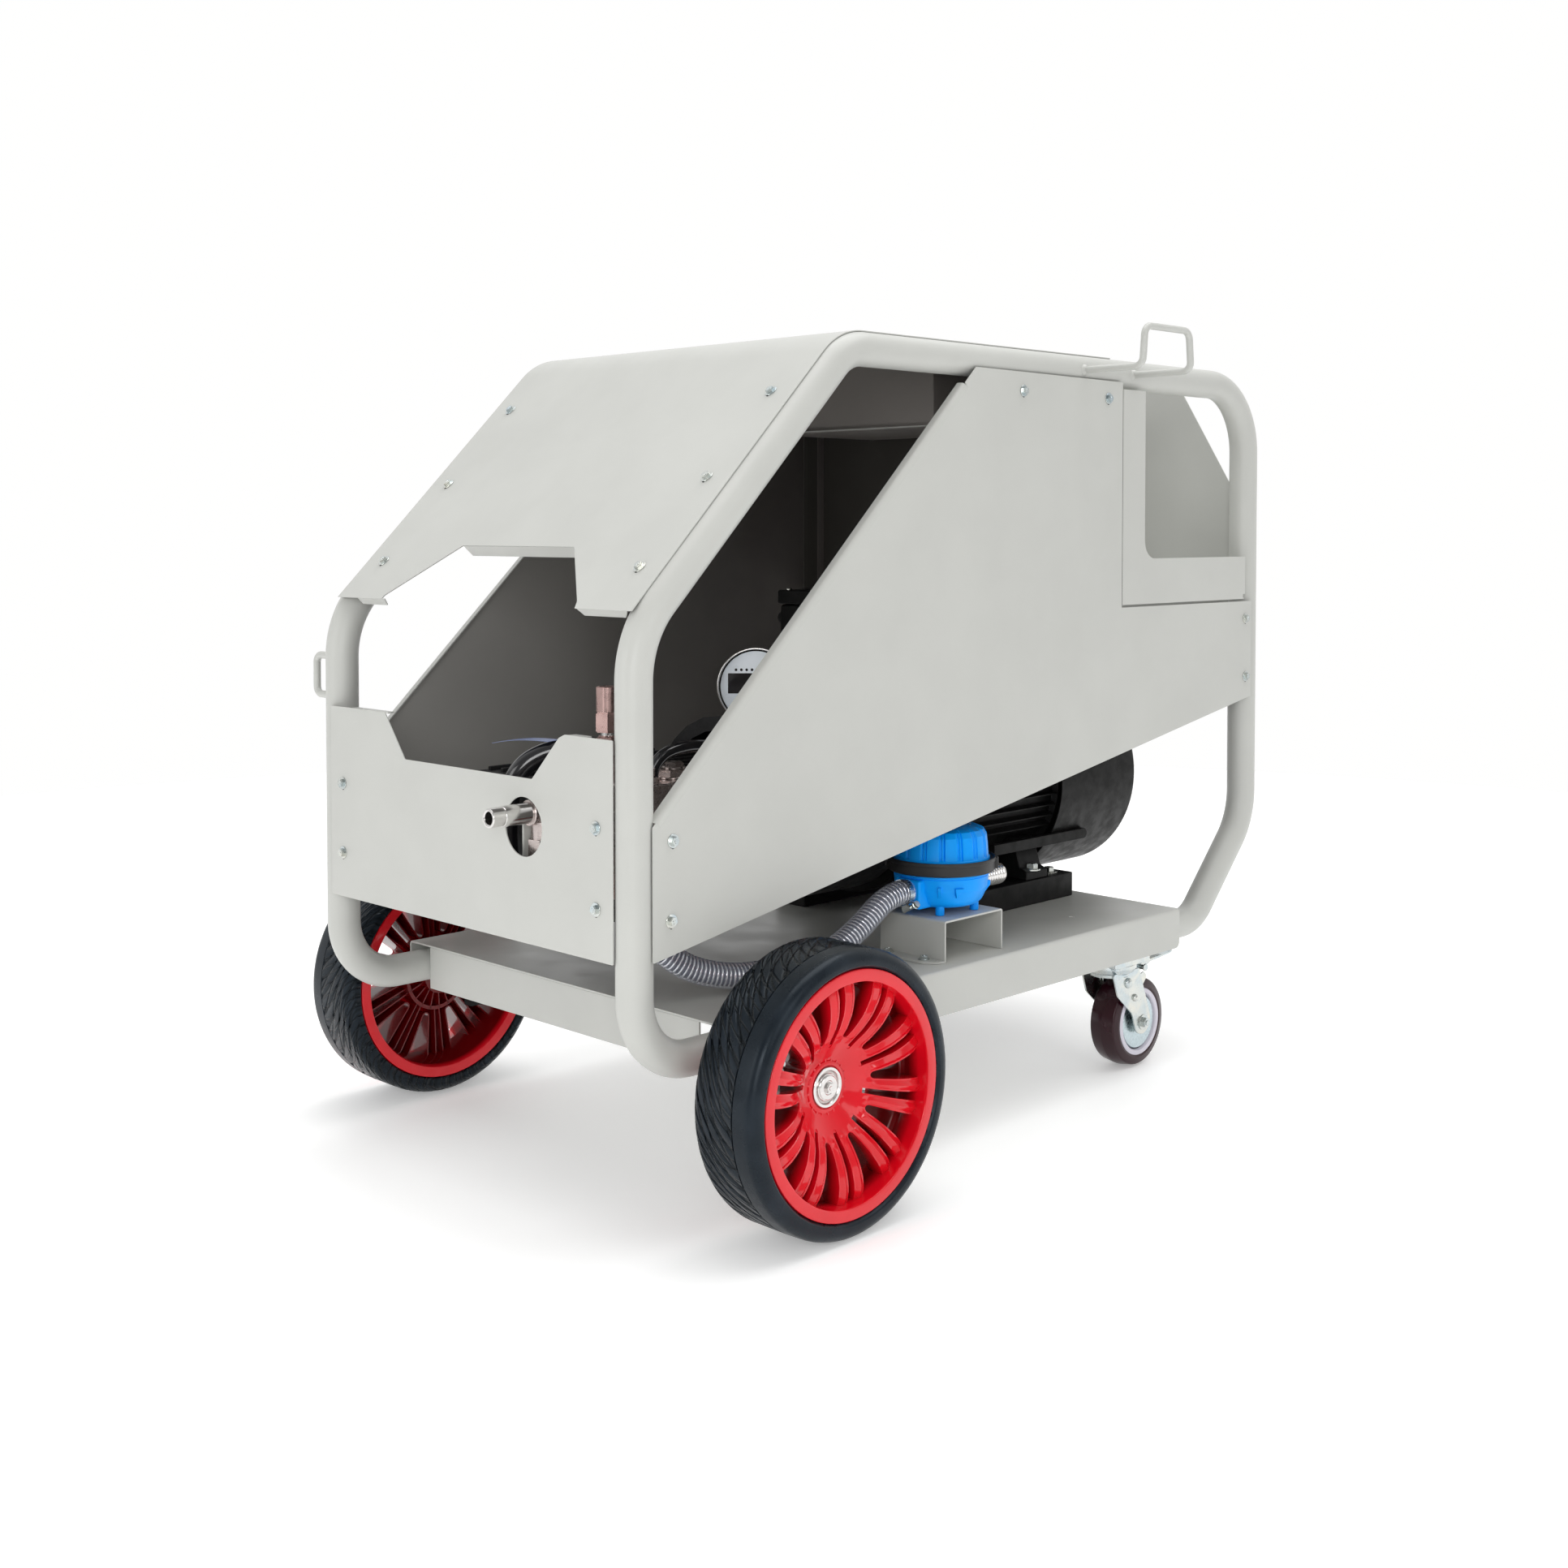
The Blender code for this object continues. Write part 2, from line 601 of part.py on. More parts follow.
def make_axle(root):
    place = (0, WHEEL_Y, WHEEL_R)
    head = 0.452
    profile = ((0, -head - 0.010), (0.018, -head - 0.010), (0.018, -head), (AXLE_R, -head),
               (AXLE_R, head), (0.018, head), (0.018, head + 0.010), (0, head + 0.010))
    add("axle", turned(profile, "X", 20), zinc(), root, place)
    for side, sign in sides():
        ends = sorted((sign * 0.285, sign * 0.303))
        hanger = add(f"axle_bracket_{side}", block(
            (ends[0], WHEEL_Y - 0.030, 0.162),
            (ends[1], WHEEL_Y + 0.030, TRAY_TOP - TRAY_T - GAP)), powder_coat(), root)
        cut(hanger, rod(AXLE_R + 0.0005, -0.5, 0.5, "X", 20), place)


def make_wheels(root):
    """Each big wheel turns on its bearing about the axle."""
    width = WHEEL_OUT - WHEEL_IN
    bore = AXLE_R + 0.0003
    tread = ((0.1500, 0.006), (0.1500, width - 0.013), (0.1596, width - 0.013),
             (0.1596, width - 0.003), (0.169, width), (0.180, width - 0.003),
             (WHEEL_R, width - 0.028), (WHEEL_R, 0.028), (0.180, 0.003), (0.165, 0))
    rim = ((0.0270, 0.016), (0.042, 0.016), (0.042, 0.052), (0.1430, 0.062),
           (0.1430, 0.008), (0.1495, 0.008), (0.1495, width - 0.0125),
           (0.1590, width - 0.0125), (0.1590, width - 0.003), (0.1430, width - 0.003),
           (0.1430, 0.074), (0.046, 0.064), (0.0270, 0.064))
    for side, sign in sides():
        axis = empty(f"wheel_axis_{side}", (0, WHEEL_Y, WHEEL_R), root)

        def across(profile):
            return [(radius, sign * (WHEEL_IN + depth)) for radius, depth in profile]

        add(f"tyre_{side}", turned(across(tread), "X", 32), black_rubber(), axis)
        add(f"rim_{side}", turned(across(rim), "X", 32),
            material("red_plastic", (0.9, 0.03, 0.04), 0.3), axis)
        add(f"wheel_bearing_{side}", turned(across(
            ((bore, 0.018), (0.0265, 0.018), (0.0265, 0.062), (bore, 0.062))),
            "X", 20), zinc(), axis)


def make_casters(root):
    """Swivelling, trailing casters with a foot brake."""
    leg = ((-0.042, 0.1800), (0.034, 0.1800), (0.036, 0.145), (0.072, 0.098),
           (0.078, 0.078), (0.071, 0.056), (0.052, 0.046), (0.032, 0.056),
           (0.026, 0.082))
    for side, sign in sides():
        x = sign * CASTER_X
        plate = add(f"caster_plate_{side}", block(
            (x - 0.050, SWIVEL_Y - 0.050, 0.1915), (x + 0.050, SWIVEL_Y + 0.050,
                                                   TRAY_LOW - GAP)), zinc(), root)
        join(plate, rod(0.034, 0.1840, 0.1925, "Z"), (x, SWIVEL_Y, 0))
        swivel = empty(f"swivel_axis_{side}", (x, SWIVEL_Y, 0), root)
        fork = add(f"caster_fork_{side}", block((-0.0335, -0.042, 0.1760),
                                                (0.0335, 0.034, 0.1800)), zinc(), swivel)
        join(fork, rod(0.036, 0.1765, 0.1837, "Z"))
        for low, high in ((-0.0335, -0.0300), (0.0300, 0.0335)):
            join(fork, prism(leg, "X", low, high))
        join(fork, rod(0.0060, -0.039, 0.039, "X", 16), (0, CASTER_TRAIL, CASTER_R))
        roll = empty(f"caster_axis_{side}", (0, CASTER_TRAIL, CASTER_R), swivel)
        tyre = ((0.0065, -0.026), (0.016, -0.026), (0.018, -0.0205), (0.066, -0.0215),
                (CASTER_R, -0.010), (CASTER_R, 0.010), (0.066, 0.0215), (0.018, 0.0205),
                (0.016, 0.026), (0.0065, 0.026))
        add(f"caster_wheel_{side}", turned(tyre, "X", 24),
            material("caster_tread", (0.06, 0.012, 0.02), 0.4), roll)
        pedal_axis = empty(f"pedal_axis_{side}", (0, 0.055, 0.168), swivel)
        section = ((-0.010, -0.006), (0.010, -0.006), (0.030, 0.004), (0.105, 0.012),
                   (0.105, 0.015), (0.028, 0.009), (-0.010, 0.004))
        add(f"brake_pedal_{side}", prism(section, "X", -0.024, 0.024), zinc(), pedal_axis)


def main():
    for obj in list(bpy.data.objects):
        bpy.data.objects.remove(obj, do_unlink=True)
    root = empty("washer", (0, (FRONT_REACH - REAR_REACH) / 2, 0))
    for make in (make_loops, make_tray, make_crossmember, make_front_panel, make_hood,
                 make_side_panels, make_storage_bin, make_rear_panel, make_control_box,
                 make_hooks, make_motor, make_rotor, make_terminal_box, make_pump,
                 make_outlet, make_relief_valve, make_gauge, make_hoses, make_filter,
                 make_clamps, make_axle, make_wheels, make_casters):
        make(root)


main()
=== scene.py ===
"""The visual model of the wheeled high-pressure washer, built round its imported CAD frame.

Lengths are in metres. Most pieces are made in the machine's own coordinates: X to the filter
side, Y counted back from the centreline of the front tubes, Z up from the floor.
"""

import json
import math

import bmesh
import bpy
from mathutils import Matrix, Vector


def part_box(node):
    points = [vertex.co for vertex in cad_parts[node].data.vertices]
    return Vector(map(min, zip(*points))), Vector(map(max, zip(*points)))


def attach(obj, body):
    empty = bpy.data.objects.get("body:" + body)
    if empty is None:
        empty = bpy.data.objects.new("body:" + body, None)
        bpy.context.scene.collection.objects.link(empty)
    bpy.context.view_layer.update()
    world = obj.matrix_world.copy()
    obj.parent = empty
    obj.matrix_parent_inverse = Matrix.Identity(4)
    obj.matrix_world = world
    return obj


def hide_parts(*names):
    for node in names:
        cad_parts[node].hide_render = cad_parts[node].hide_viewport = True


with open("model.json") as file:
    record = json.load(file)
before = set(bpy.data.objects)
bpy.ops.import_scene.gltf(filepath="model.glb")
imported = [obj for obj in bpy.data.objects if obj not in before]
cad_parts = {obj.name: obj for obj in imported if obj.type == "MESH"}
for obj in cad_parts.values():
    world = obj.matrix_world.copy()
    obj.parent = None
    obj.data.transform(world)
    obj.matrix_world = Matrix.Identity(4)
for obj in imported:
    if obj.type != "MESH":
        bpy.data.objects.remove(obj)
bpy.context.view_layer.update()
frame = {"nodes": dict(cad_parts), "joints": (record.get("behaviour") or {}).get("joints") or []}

# ------------------------------------------------------------------ places, from the frame

TUBE_R = 0.024
FRONT_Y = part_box("frame_loop_right")[0].y + TUBE_R
JOINTS = {joint["name"]: joint for joint in frame["joints"]}
SIDES = (("right", 1), ("left", -1))


def span(node):
    """Lowest and highest corner of a CAD node, in machine coordinates."""
    low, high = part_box(node)
    shift = Vector((0, FRONT_Y, 0))
    return low - shift, high - shift


def joint_place(name):
    """A joint's point, in machine coordinates."""
    return Vector(JOINTS[name]["pos_m"]) - Vector((0, FRONT_Y, 0))


LOOP_X = (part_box("frame_loop_right")[0].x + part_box("frame_loop_right")[1].x) / 2
LOOP_CORNERS = (  # (y, z, bend radius) of each corner of a side loop
    (0, 0.229, 0.09),
    (0, 0.772, 0.14),
    (0.381, 1.153, 0.085),
    (1.4207, 1.153, 0.115),
    (1.4207, 0.391, 0.12),
    (1.259, 0.229, 0.08),
)
SLOPE_Z = 0.772
RAIL_Z = 1.153
GAP = 0.0003
SHEET = 0.002
EDGE = 0.0005  # rounding of a cut sheet's edges
QUARTER = [math.pi / 2 * step / 6 for step in range(1, 6)]  # angles between 0 and 90 degrees
PANEL_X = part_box("side_panel_right")[1].x  # outer face of the side panels
NOSE_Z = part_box("hood_panel")[0].z
HOOD_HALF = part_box("hood_panel")[1].x
ROOF_END = span("hood_panel")[1].y
AXIS_Z = joint_place("rotor_spin").z
WHEEL_R = joint_place("wheel_right_roll").z
WHEEL_Y = joint_place("wheel_right_roll").y
WHEEL_IN, WHEEL_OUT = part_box("tyre_right")[0].x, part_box("tyre_right")[1].x
TREAD_TEETH, TREAD_LEAN, TREAD_CURL, TREAD_DEPTH = 44, 3.0, 70.0, 0.0016
TREAD_EDGE = WHEEL_OUT - 0.035
CAP_PLACE = joint_place("filter_cap_turn")
FILTER_X, FILTER_Y = CAP_PLACE.x, CAP_PLACE.y
PORT_Z = 0.363
INLET_PLACE = (0.19, 0.155, 0.3665)  # where the suction hose is pushed on to the pump
TRAY_LOW, TRAY_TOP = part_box("base_tray")[0].z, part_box("base_tray")[1].z


# ------------------------------------------------------------------ materials


class Look:
    """A procedural material: short calls that add shader nodes and wire them."""

    def __init__(self, name, colour, roughness, metallic=0.0, **sockets):
        self.material = bpy.data.materials.new(name)
        self.material.use_nodes = True
        self.tree = self.material.node_tree
        self.shader = self.tree.nodes["Principled BSDF"]
        self.colour = colour
        self.shader.inputs["Base Color"].default_value = (*colour, 1)
        self.shader.inputs["Roughness"].default_value = roughness
        self.shader.inputs["Metallic"].default_value = metallic
        for socket, value in sockets.items():
            self.shader.inputs[socket.replace("_", " ")].default_value = value
        self.place = self.add("TexCoord").outputs["Object"]
        self.normal = None

    def add(self, kind, sockets=None, **settings):
        node = self.tree.nodes.new("ShaderNode" + kind)
        for key, value in settings.items():
            setattr(node, key, value)
        for key, value in (sockets or {}).items():
            if isinstance(value, bpy.types.NodeSocket):
                self.tree.links.new(value, node.inputs[key])
            else:
                node.inputs[key].default_value = value
        return node

    def math(self, operation, a, b=0.0):
        return self.add("Math", {0: a, 1: b}, operation=operation).outputs[0]

    def noise(self, scale, detail=3.0, stretch=None, distortion=0.0):
        vector = self.place
        if stretch:
            vector = self.add("Mapping", {"Vector": vector, "Scale": stretch}).outputs[0]
        return self.add("TexNoise", {"Vector": vector, "Scale": scale, "Detail": detail,
                                     "Distortion": distortion}).outputs[0]

    def spread(self, value, low, high, start=0.35, end=0.65):
        """Map start..end of a texture onto low..high."""
        return self.add("MapRange", {0: value, 1: start, 2: end, 3: low, 4: high}).outputs[0]

    def mix(self, share, a, b):
        node = self.add("Mix", data_type="RGBA")
        for index, value in ((0, share), (6, a), (7, b)):
            if isinstance(value, bpy.types.NodeSocket):
                self.tree.links.new(value, node.inputs[index])
            else:
                node.inputs[index].default_value = (*value, 1) if index else value
        return node.outputs[2]

    def paint(self, colour):
        self.tree.links.new(colour, self.shader.inputs["Base Color"])
        return self

    def mottle(self, scale, amount, detail=3.0, stretch=None):
        """Lighten and darken the base colour a little, in patches of about 1 / scale."""
        dark = tuple(channel * (1 - amount) for channel in self.colour)
        light = tuple(min(1.0, channel * (1 + amount)) for channel in self.colour)
        share = self.spread(self.noise(scale, detail, stretch), 0, 1)
        return self.paint(self.mix(share, dark, light))

    def rough(self, scale, low, high, stretch=None):
        value = self.spread(self.noise(scale, 4.0, stretch), low, high)
        self.tree.links.new(value, self.shader.inputs["Roughness"])
        return self

    def bump(self, height, distance, strength=1.0):
        sockets = {"Height": height, "Distance": distance, "Strength": strength}
        if self.normal:
            sockets["Normal"] = self.normal
        self.normal = self.add("Bump", sockets).outputs[0]
        self.tree.links.new(self.normal, self.shader.inputs["Normal"])
        return self


def grain(look, scale, distance, strength=0.5, stretch=None):
    return look.bump(look.noise(scale, 3.0, stretch), distance, strength)


def powder_coat(name, colour, roughness, shine=0.5):
    """Satin powder coat: orange peel, faint clouding and rubbed patches."""
    look = Look(name, colour, roughness, Coat_Weight=0.16 * shine, Coat_Roughness=0.25,
                Specular_IOR_Level=shine)
    look.mottle(7, 0.022, 5.0).rough(16, roughness - 0.05, roughness + 0.07)
    grain(look, 420, 0.00025, 0.35)
    return grain(look, 1500, 0.00006, 0.4)


def bay_painted_shade():
    """Painted shade inside the machine bay: a darker copy of the powder coat, lighter towards the front
    as painted light and darker towards the rear as painted shade.
    """
    look = powder_coat("bay_painted_shade", (0.24, 0.225, 0.212), 0.55, 0.3)
    back = look.add("SeparateXYZ", {"Vector": look.place}).outputs[1]
    share = look.add("MapRange", {0: back, 1: 0.1, 2: 0.9}).outputs[0]
    share = look.math("ADD", share, look.spread(look.noise(5, 4.0), -0.04, 0.04))
    # Painted light at the front blends into painted shade at the rear, with a little random variation.
    return look.paint(look.mix(share, (0.36, 0.352, 0.335), (0.15, 0.136, 0.126)))


def bare_metal(name, colour, roughness, stretch=(1, 1, 1), tint=0.03):
    """Turned or rolled metal with fine lines along the short axis of stretch."""
    look = Look(name, colour, roughness, 1.0)
    look.mottle(30, tint, 2.0, stretch).rough(40, roughness - 0.03, roughness + 0.05, stretch)
    grain(look, 120, 0.00004, 0.12, stretch)
    return look


def zinc_plate():
    """Bright zinc: blue and yellow clouds of the passivation over fine rolling lines."""
    look = Look("zinc_plate", (0.56, 0.59, 0.59), 0.24, 1.0)
    cloud = look.spread(look.noise(26, 3.0, distortion=0.6), 0, 1)
    look.paint(look.mix(cloud, (0.48, 0.55, 0.58), (0.66, 0.655, 0.6)))
    look.rough(70, 0.18, 0.3)
    grain(look, 260, 0.00006, 0.2)
    return look


def black_enamel():
    look = Look("black_enamel", (0.006, 0.006, 0.006), 0.5, Specular_IOR_Level=0.22)
    look.mottle(30, 0.35, 5.0).rough(45, 0.42, 0.6)
    grain(look, 320, 0.0003, 0.35)
    return look


def cast_black():
    look = Look("cast_black", (0.013, 0.013, 0.014), 0.55)
    look.mottle(40, 0.3, 4.0).rough(60, 0.48, 0.66)
    grain(look, 260, 0.0008, 0.6)
    return look


def moulded(name, colour, roughness, **sockets):
    """Injection-moulded plastic: soft sheen changes and a very fine texture."""
    look = Look(name, colour, roughness, **sockets)
    look.mottle(14, 0.05, 3.0).rough(25, roughness - 0.05, roughness + 0.08)
    grain(look, 160, 0.00025, 0.25)
    return look


def clear_plastic(name, tint, roughness):
    look = Look(name, tint, roughness, Transmission_Weight=0.95, IOR=1.25)
    look.rough(40, roughness, roughness + 0.05)
    grain(look, 90, 0.0004, 0.3)
    return look


def groove_mask(look, inwards, turn, teeth, lean, curl):
    """0 on the floor of swept grooves and 1 between them."""
    sweep = look.math("ADD", look.math("MULTIPLY", inwards, lean),
                      look.math("MULTIPLY", look.math("MULTIPLY", inwards, inwards), curl))
    share = look.math("FRACT", look.math("DIVIDE", look.math("ADD", turn, sweep), math.tau / teeth))
    across = look.math("ABSOLUTE", look.math("SUBTRACT", share, 0.5))
    return look.add("MapRange", {0: across, 1: 0.03, 2: 0.14}).outputs[0]


def tyre_rubber():
    """Tyre rubber: painted shade on the floors of the tyre's own grooves and of finer grooves between
    them.
    """
    look = Look("tyre_tread", (0.004, 0.006, 0.009), 0.3, Specular_IOR_Level=0.22,
                Specular_Tint=(0.78, 0.9, 1.0, 1))
    look.rough(35, 0.24, 0.36)
    grain(look, 700, 0.00025, 0.5)
    parts = look.add("SeparateXYZ", {"Vector": look.place}).outputs
    turn = look.math("ARCTAN2", parts[2], parts[1])
    inwards = look.math("SUBTRACT", TREAD_EDGE, look.math("ABSOLUTE", parts[0]))
    on_tread = look.add("MapRange", {0: inwards, 1: 0, 2: 0.002}).outputs[0]
    lines = groove_mask(look, inwards, turn, TREAD_TEETH, TREAD_LEAN, TREAD_CURL)
    turn = look.math("ADD", turn, look.math("MULTIPLY", look.noise(7, 1.0), 0.35))
    for teeth, lean, curl, depth in ((29, 6.0, 105.0, 0.0014), (67, 1.5, 50.0, 0.001)):
        groove = groove_mask(look, inwards, turn, teeth, lean, curl)
        look.bump(look.math("MULTIPLY", groove, on_tread), depth)
        lines = look.math("MULTIPLY", groove, lines)
    # Painted shade: groove floors take a near-black colour, the tread between them a dark rubber with
    # random tone.
    ridge = look.mix(look.spread(look.noise(18, 6.0), 0, 1, 0.45, 0.75), (0.006, 0.009, 0.013),
                     (0.014, 0.019, 0.026))
    plain = look.math("SUBTRACT", 1.0, on_tread)
    return look.paint(look.mix(look.math("MAXIMUM", lines, plain), (0.002, 0.003, 0.004), ridge))


def wheel_red():
    """The wheel's red plastic, with painted shade darkening it deeper down between the spokes."""
    look = moulded("wheel_red", (0.66, 0.003, 0.012), 0.16, Coat_Weight=0.45, Coat_Roughness=0.05,
                   Specular_IOR_Level=0.3)
    parts = look.add("SeparateXYZ", {"Vector": look.place}).outputs
    reach = look.math("SQRT", look.math("ADD", look.math("MULTIPLY", parts[1], parts[1]),
                                        look.math("MULTIPLY", parts[2], parts[2])))
    face = look.add("MapRange", {0: reach, 1: 0.03, 2: 0.1, 3: 0.445, 4: 0.482},
                    interpolation_type="SMOOTHSTEP").outputs[0]
    out = look.math("ABSOLUTE", parts[0])
    # Painted shade: the red turns dark with depth below the spoked face, except on the barrel's inner
    # lip.
    share = look.add("MapRange", {0: look.math("SUBTRACT", face, out), 1: 0.0025, 2: 0.02}).outputs[0]
    inner_lip = look.add("MapRange", {0: out, 1: 0.3925, 2: 0.4}).outputs[0]
    unshaded_red = look.mix(look.spread(look.noise(14, 3.0), 0, 1), (0.63, 0.002, 0.01), (0.7, 0.004, 0.014))
    share = look.math("MULTIPLY", share, inner_lip)
    return look.paint(look.mix(share, unshaded_red, (0.15, 0.0015, 0.003)))


POWDER = powder_coat("powder_coat_grey", (0.5, 0.505, 0.478), 0.42)
# Darker copies of the powder coat for faces inside the bay: painted shade.
BAY_SHADE = bay_painted_shade()
BAY_SHADE_REAR = powder_coat("bay_painted_shade_rear", (0.06, 0.056, 0.05), 0.6, 0.2)
SWITCH_GREY = powder_coat("switch_box_grey", (0.27, 0.25, 0.235), 0.55, 0.3)
ENAMEL = black_enamel()
CAST = cast_black()
ZINC = zinc_plate()
STAINLESS = bare_metal("stainless_turned", (0.68, 0.665, 0.65), 0.2, (1, 1, 14))
SPRING_STEEL = bare_metal("spring_steel", (0.86, 0.87, 0.9), 0.16)
NICKEL = bare_metal("nickel_plate", (0.5, 0.44, 0.42), 0.26, (3, 3, 3), 0.05)
ROSE_BRASS = bare_metal("rose_brass", (0.52, 0.355, 0.33), 0.27, (2, 2, 2), 0.03)
TYRE = tyre_rubber()
RED = wheel_red()
BLUE = moulded("blue_plastic", (0, 0.33, 1.0), 0.36, Specular_IOR_Level=0.2)
RUBBER = moulded("black_rubber", (0.014, 0.014, 0.015), 0.48)
GLOSS_HOSE = moulded("black_hose", (0.008, 0.008, 0.01), 0.16, Coat_Weight=0.6)
# A dark bluish core inside the clear hose: painted shade for the hose's dim inside.
HOSE_SHADE_CORE = moulded("hose_shade_core", (0.06, 0.064, 0.092), 0.18, Coat_Weight=0.5)
HOSE_WALL = moulded("hose_wall", (0.62, 0.66, 0.78), 0.1, Alpha=0.2)
CLEAR = clear_plastic("clear_dome", (0.8, 0.86, 0.88), 0.05)
TREAD = moulded("caster_tread", (0.022, 0.002, 0.006), 0.2, Specular_IOR_Level=0.35)
HUB_WHITE = moulded("caster_hub", (0.61, 0.585, 0.66), 0.34)
DUST_CAP = bare_metal("dust_cap", (0.5, 0.585, 0.615), 0.24, (8, 8, 8), 0.05)
DIAL_WHITE = moulded("dial_white", (0.8, 0.86, 0.92), 0.3)
DISPLAY = moulded("dial_display", (0.01, 0.008, 0.01), 0.12, Coat_Weight=0.5)
STRAP = moulded("blue_film", (0.22, 0.27, 0.46), 0.2)
# A near-black stand-in for holes and gaps in shade: painted shade.
SHADE_BLACK = moulded("painted_shade_black", (0.006, 0.006, 0.006), 0.7)


# ------------------------------------------------------------------ making pieces


def finish_piece(made, look, body, place, stands_for):
    made.location = Vector(place) + Vector((0, FRONT_Y, 0))
    made.data.materials.append(look.material)
    bpy.context.scene.collection.objects.link(made)
    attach(made, body)
    if stands_for:
        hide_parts(*stands_for)
    return made


def piece(name, bm, look, body="chassis", place=(0, 0, 0), stands_for=(), bevel=0.0, steps=2, crease=35):
    """Turn a bmesh into a named piece that rides on a body, with rounded edges."""
    bmesh.ops.remove_doubles(bm, verts=bm.verts, dist=1e-6)
    bmesh.ops.recalc_face_normals(bm, faces=bm.faces)
    mesh = bpy.data.meshes.new(name)
    bm.to_mesh(mesh)
    bm.free()
    mesh.shade_smooth()
    mesh.set_sharp_from_angle(angle=math.radians(crease))
    made = finish_piece(bpy.data.objects.new(name, mesh), look, body, place, stands_for)
    if bevel:
        rounding = made.modifiers.new("Rounding", "BEVEL")
        rounding.width = bevel
        rounding.segments = steps
        rounding.limit_method = "ANGLE"
        rounding.angle_limit = math.radians(crease)
        rounding.harden_normals = True
    return made


def wire(name, points, radius, look, body="chassis", closed=False, stands_for=(), resolution=6,
         place=(0, 0, 0)):
    """A round tube or wire through points."""
    curve = bpy.data.curves.new(name, "CURVE")
    curve.dimensions = "3D"
    curve.bevel_depth = radius
    curve.bevel_resolution = resolution
    curve.use_fill_caps = not closed
    spline = curve.splines.new("POLY")
    spline.points.add(len(points) - 1)
    for slot, point in zip(spline.points, points):
        slot.co = (*point, 1)
    spline.use_cyclic_u = closed
    spline.use_smooth = True
    return finish_piece(bpy.data.objects.new(name, curve), look, body, place, stands_for)


def merged(*parts):
    """Several bmeshes as one."""
    whole = bmesh.new()
    for part in parts:
        mesh = bpy.data.meshes.new("part")
        part.to_mesh(mesh)
        part.free()
        whole.from_mesh(mesh)
        bpy.data.meshes.remove(mesh)
    return whole


def moved(bm, offset=(0, 0, 0), angle=0.0, axis="Z"):
    """Turn a bmesh round an axis through its origin, then shift it."""
    turn = Matrix.Rotation(angle, 3, axis)
    bmesh.ops.rotate(bm, verts=bm.verts, cent=(0, 0, 0), matrix=turn)
    bmesh.ops.translate(bm, verts=bm.verts, vec=Vector(offset))
    return bm


def both(sign, a, b):
    """Two distances from the middle plane as levels on the side that sign gives."""
    return sorted((sign * a, sign * b))


def block(low, high):
    bm = bmesh.new()
    low, high = Vector(low), Vector(high)
    place = Matrix.Translation((low + high) / 2) @ Matrix.Diagonal((*(high - low), 1.0))
    bmesh.ops.create_cube(bm, size=1.0, matrix=place)
    return bm


def skin(bm, rows):
    """Faces from each ring of vertices to the next."""
    for near, far in zip(rows, rows[1:]):
        for i, vert in enumerate(near):
            after = (i + 1) % len(near)
            bm.faces.new((vert, far[i], far[after], near[after]))


def solid(rings):
    """A solid from rings of points, each joined to the next and the ends closed."""
    bm = bmesh.new()
    rows = [[bm.verts.new(point) for point in ring] for ring in rings]
    bm.faces.new(rows[0])
    bm.faces.new(rows[-1][::-1])
    skin(bm, rows)
    return bm


def prism(outline, axis, start, end):
    """An outline in the two other axes, in X, Y, Z order, extruded along axis."""
    index = "XYZ".index(axis)
    return solid([[(*point[:index], level, *point[index:]) for point in outline]
                  for level in (start, end)])


def turned(profile, axis="Z", steps=48, closed=True):
    """A (radius, height) profile turned round an axis through the local origin."""
    bm = bmesh.new()
    points = [bm.verts.new((radius, 0, height)) for radius, height in profile]
    ends = points[1:] + points[:1] if closed else points[1:]
    edges = [bm.edges.new(pair) for pair in zip(points, ends)]
    bmesh.ops.spin(bm, geom=points + edges, cent=(0, 0, 0), axis=(0, 0, 1), angle=math.tau, steps=steps,
                   use_merge=True, use_duplicate=False)
    turn = {"X": Matrix.Rotation(math.radians(90), 3, "Y"),
            "Y": Matrix.Rotation(math.radians(-90), 3, "X"), "Z": Matrix.Identity(3)}[axis]
    bmesh.ops.rotate(bm, verts=bm.verts, cent=(0, 0, 0), matrix=turn)
    bmesh.ops.remove_doubles(bm, verts=bm.verts, dist=1e-6)
    return bm


def rod(radius, start, end, axis="Z", steps=32, chamfer=0.0):
    profile = ((0, start), (radius - chamfer, start), (radius, start + chamfer), (radius, end - chamfer),
               (radius - chamfer, end), (0, end))
    return turned(profile, axis, steps)


def ring(inner, outer, start, end, axis="Z", steps=48):
    return turned(((inner, start), (outer, start), (outer, end), (inner, end)), axis, steps)


def rounded(corners, steps, closed=True):
    """A path whose corners, each given as (coordinates ..., radius), are turned to arcs."""
    points = []
    count = len(corners)
    for i, (*corner, radius) in enumerate(corners):
        corner = Vector(corner)
        if not radius or (not closed and i in (0, count - 1)):
            points.append(corner)
            continue
        before = (Vector(corners[i - 1][:-1]) - corner).normalized()
        after = (Vector(corners[(i + 1) % count][:-1]) - corner).normalized()
        half = before.angle(after) / 2
        reach = radius / math.tan(half)
        middle = corner + (before + after).normalized() * radius / math.sin(half)
        first = corner + before * reach - middle
        last = corner + after * reach - middle
        sweep = first.angle(last)
        for step in range(steps + 1):
            share = step / steps
            arm = (first * math.sin((1 - share) * sweep) + last
                   * math.sin(share * sweep)) / math.sin(sweep)
            points.append(middle + arm)
    return points


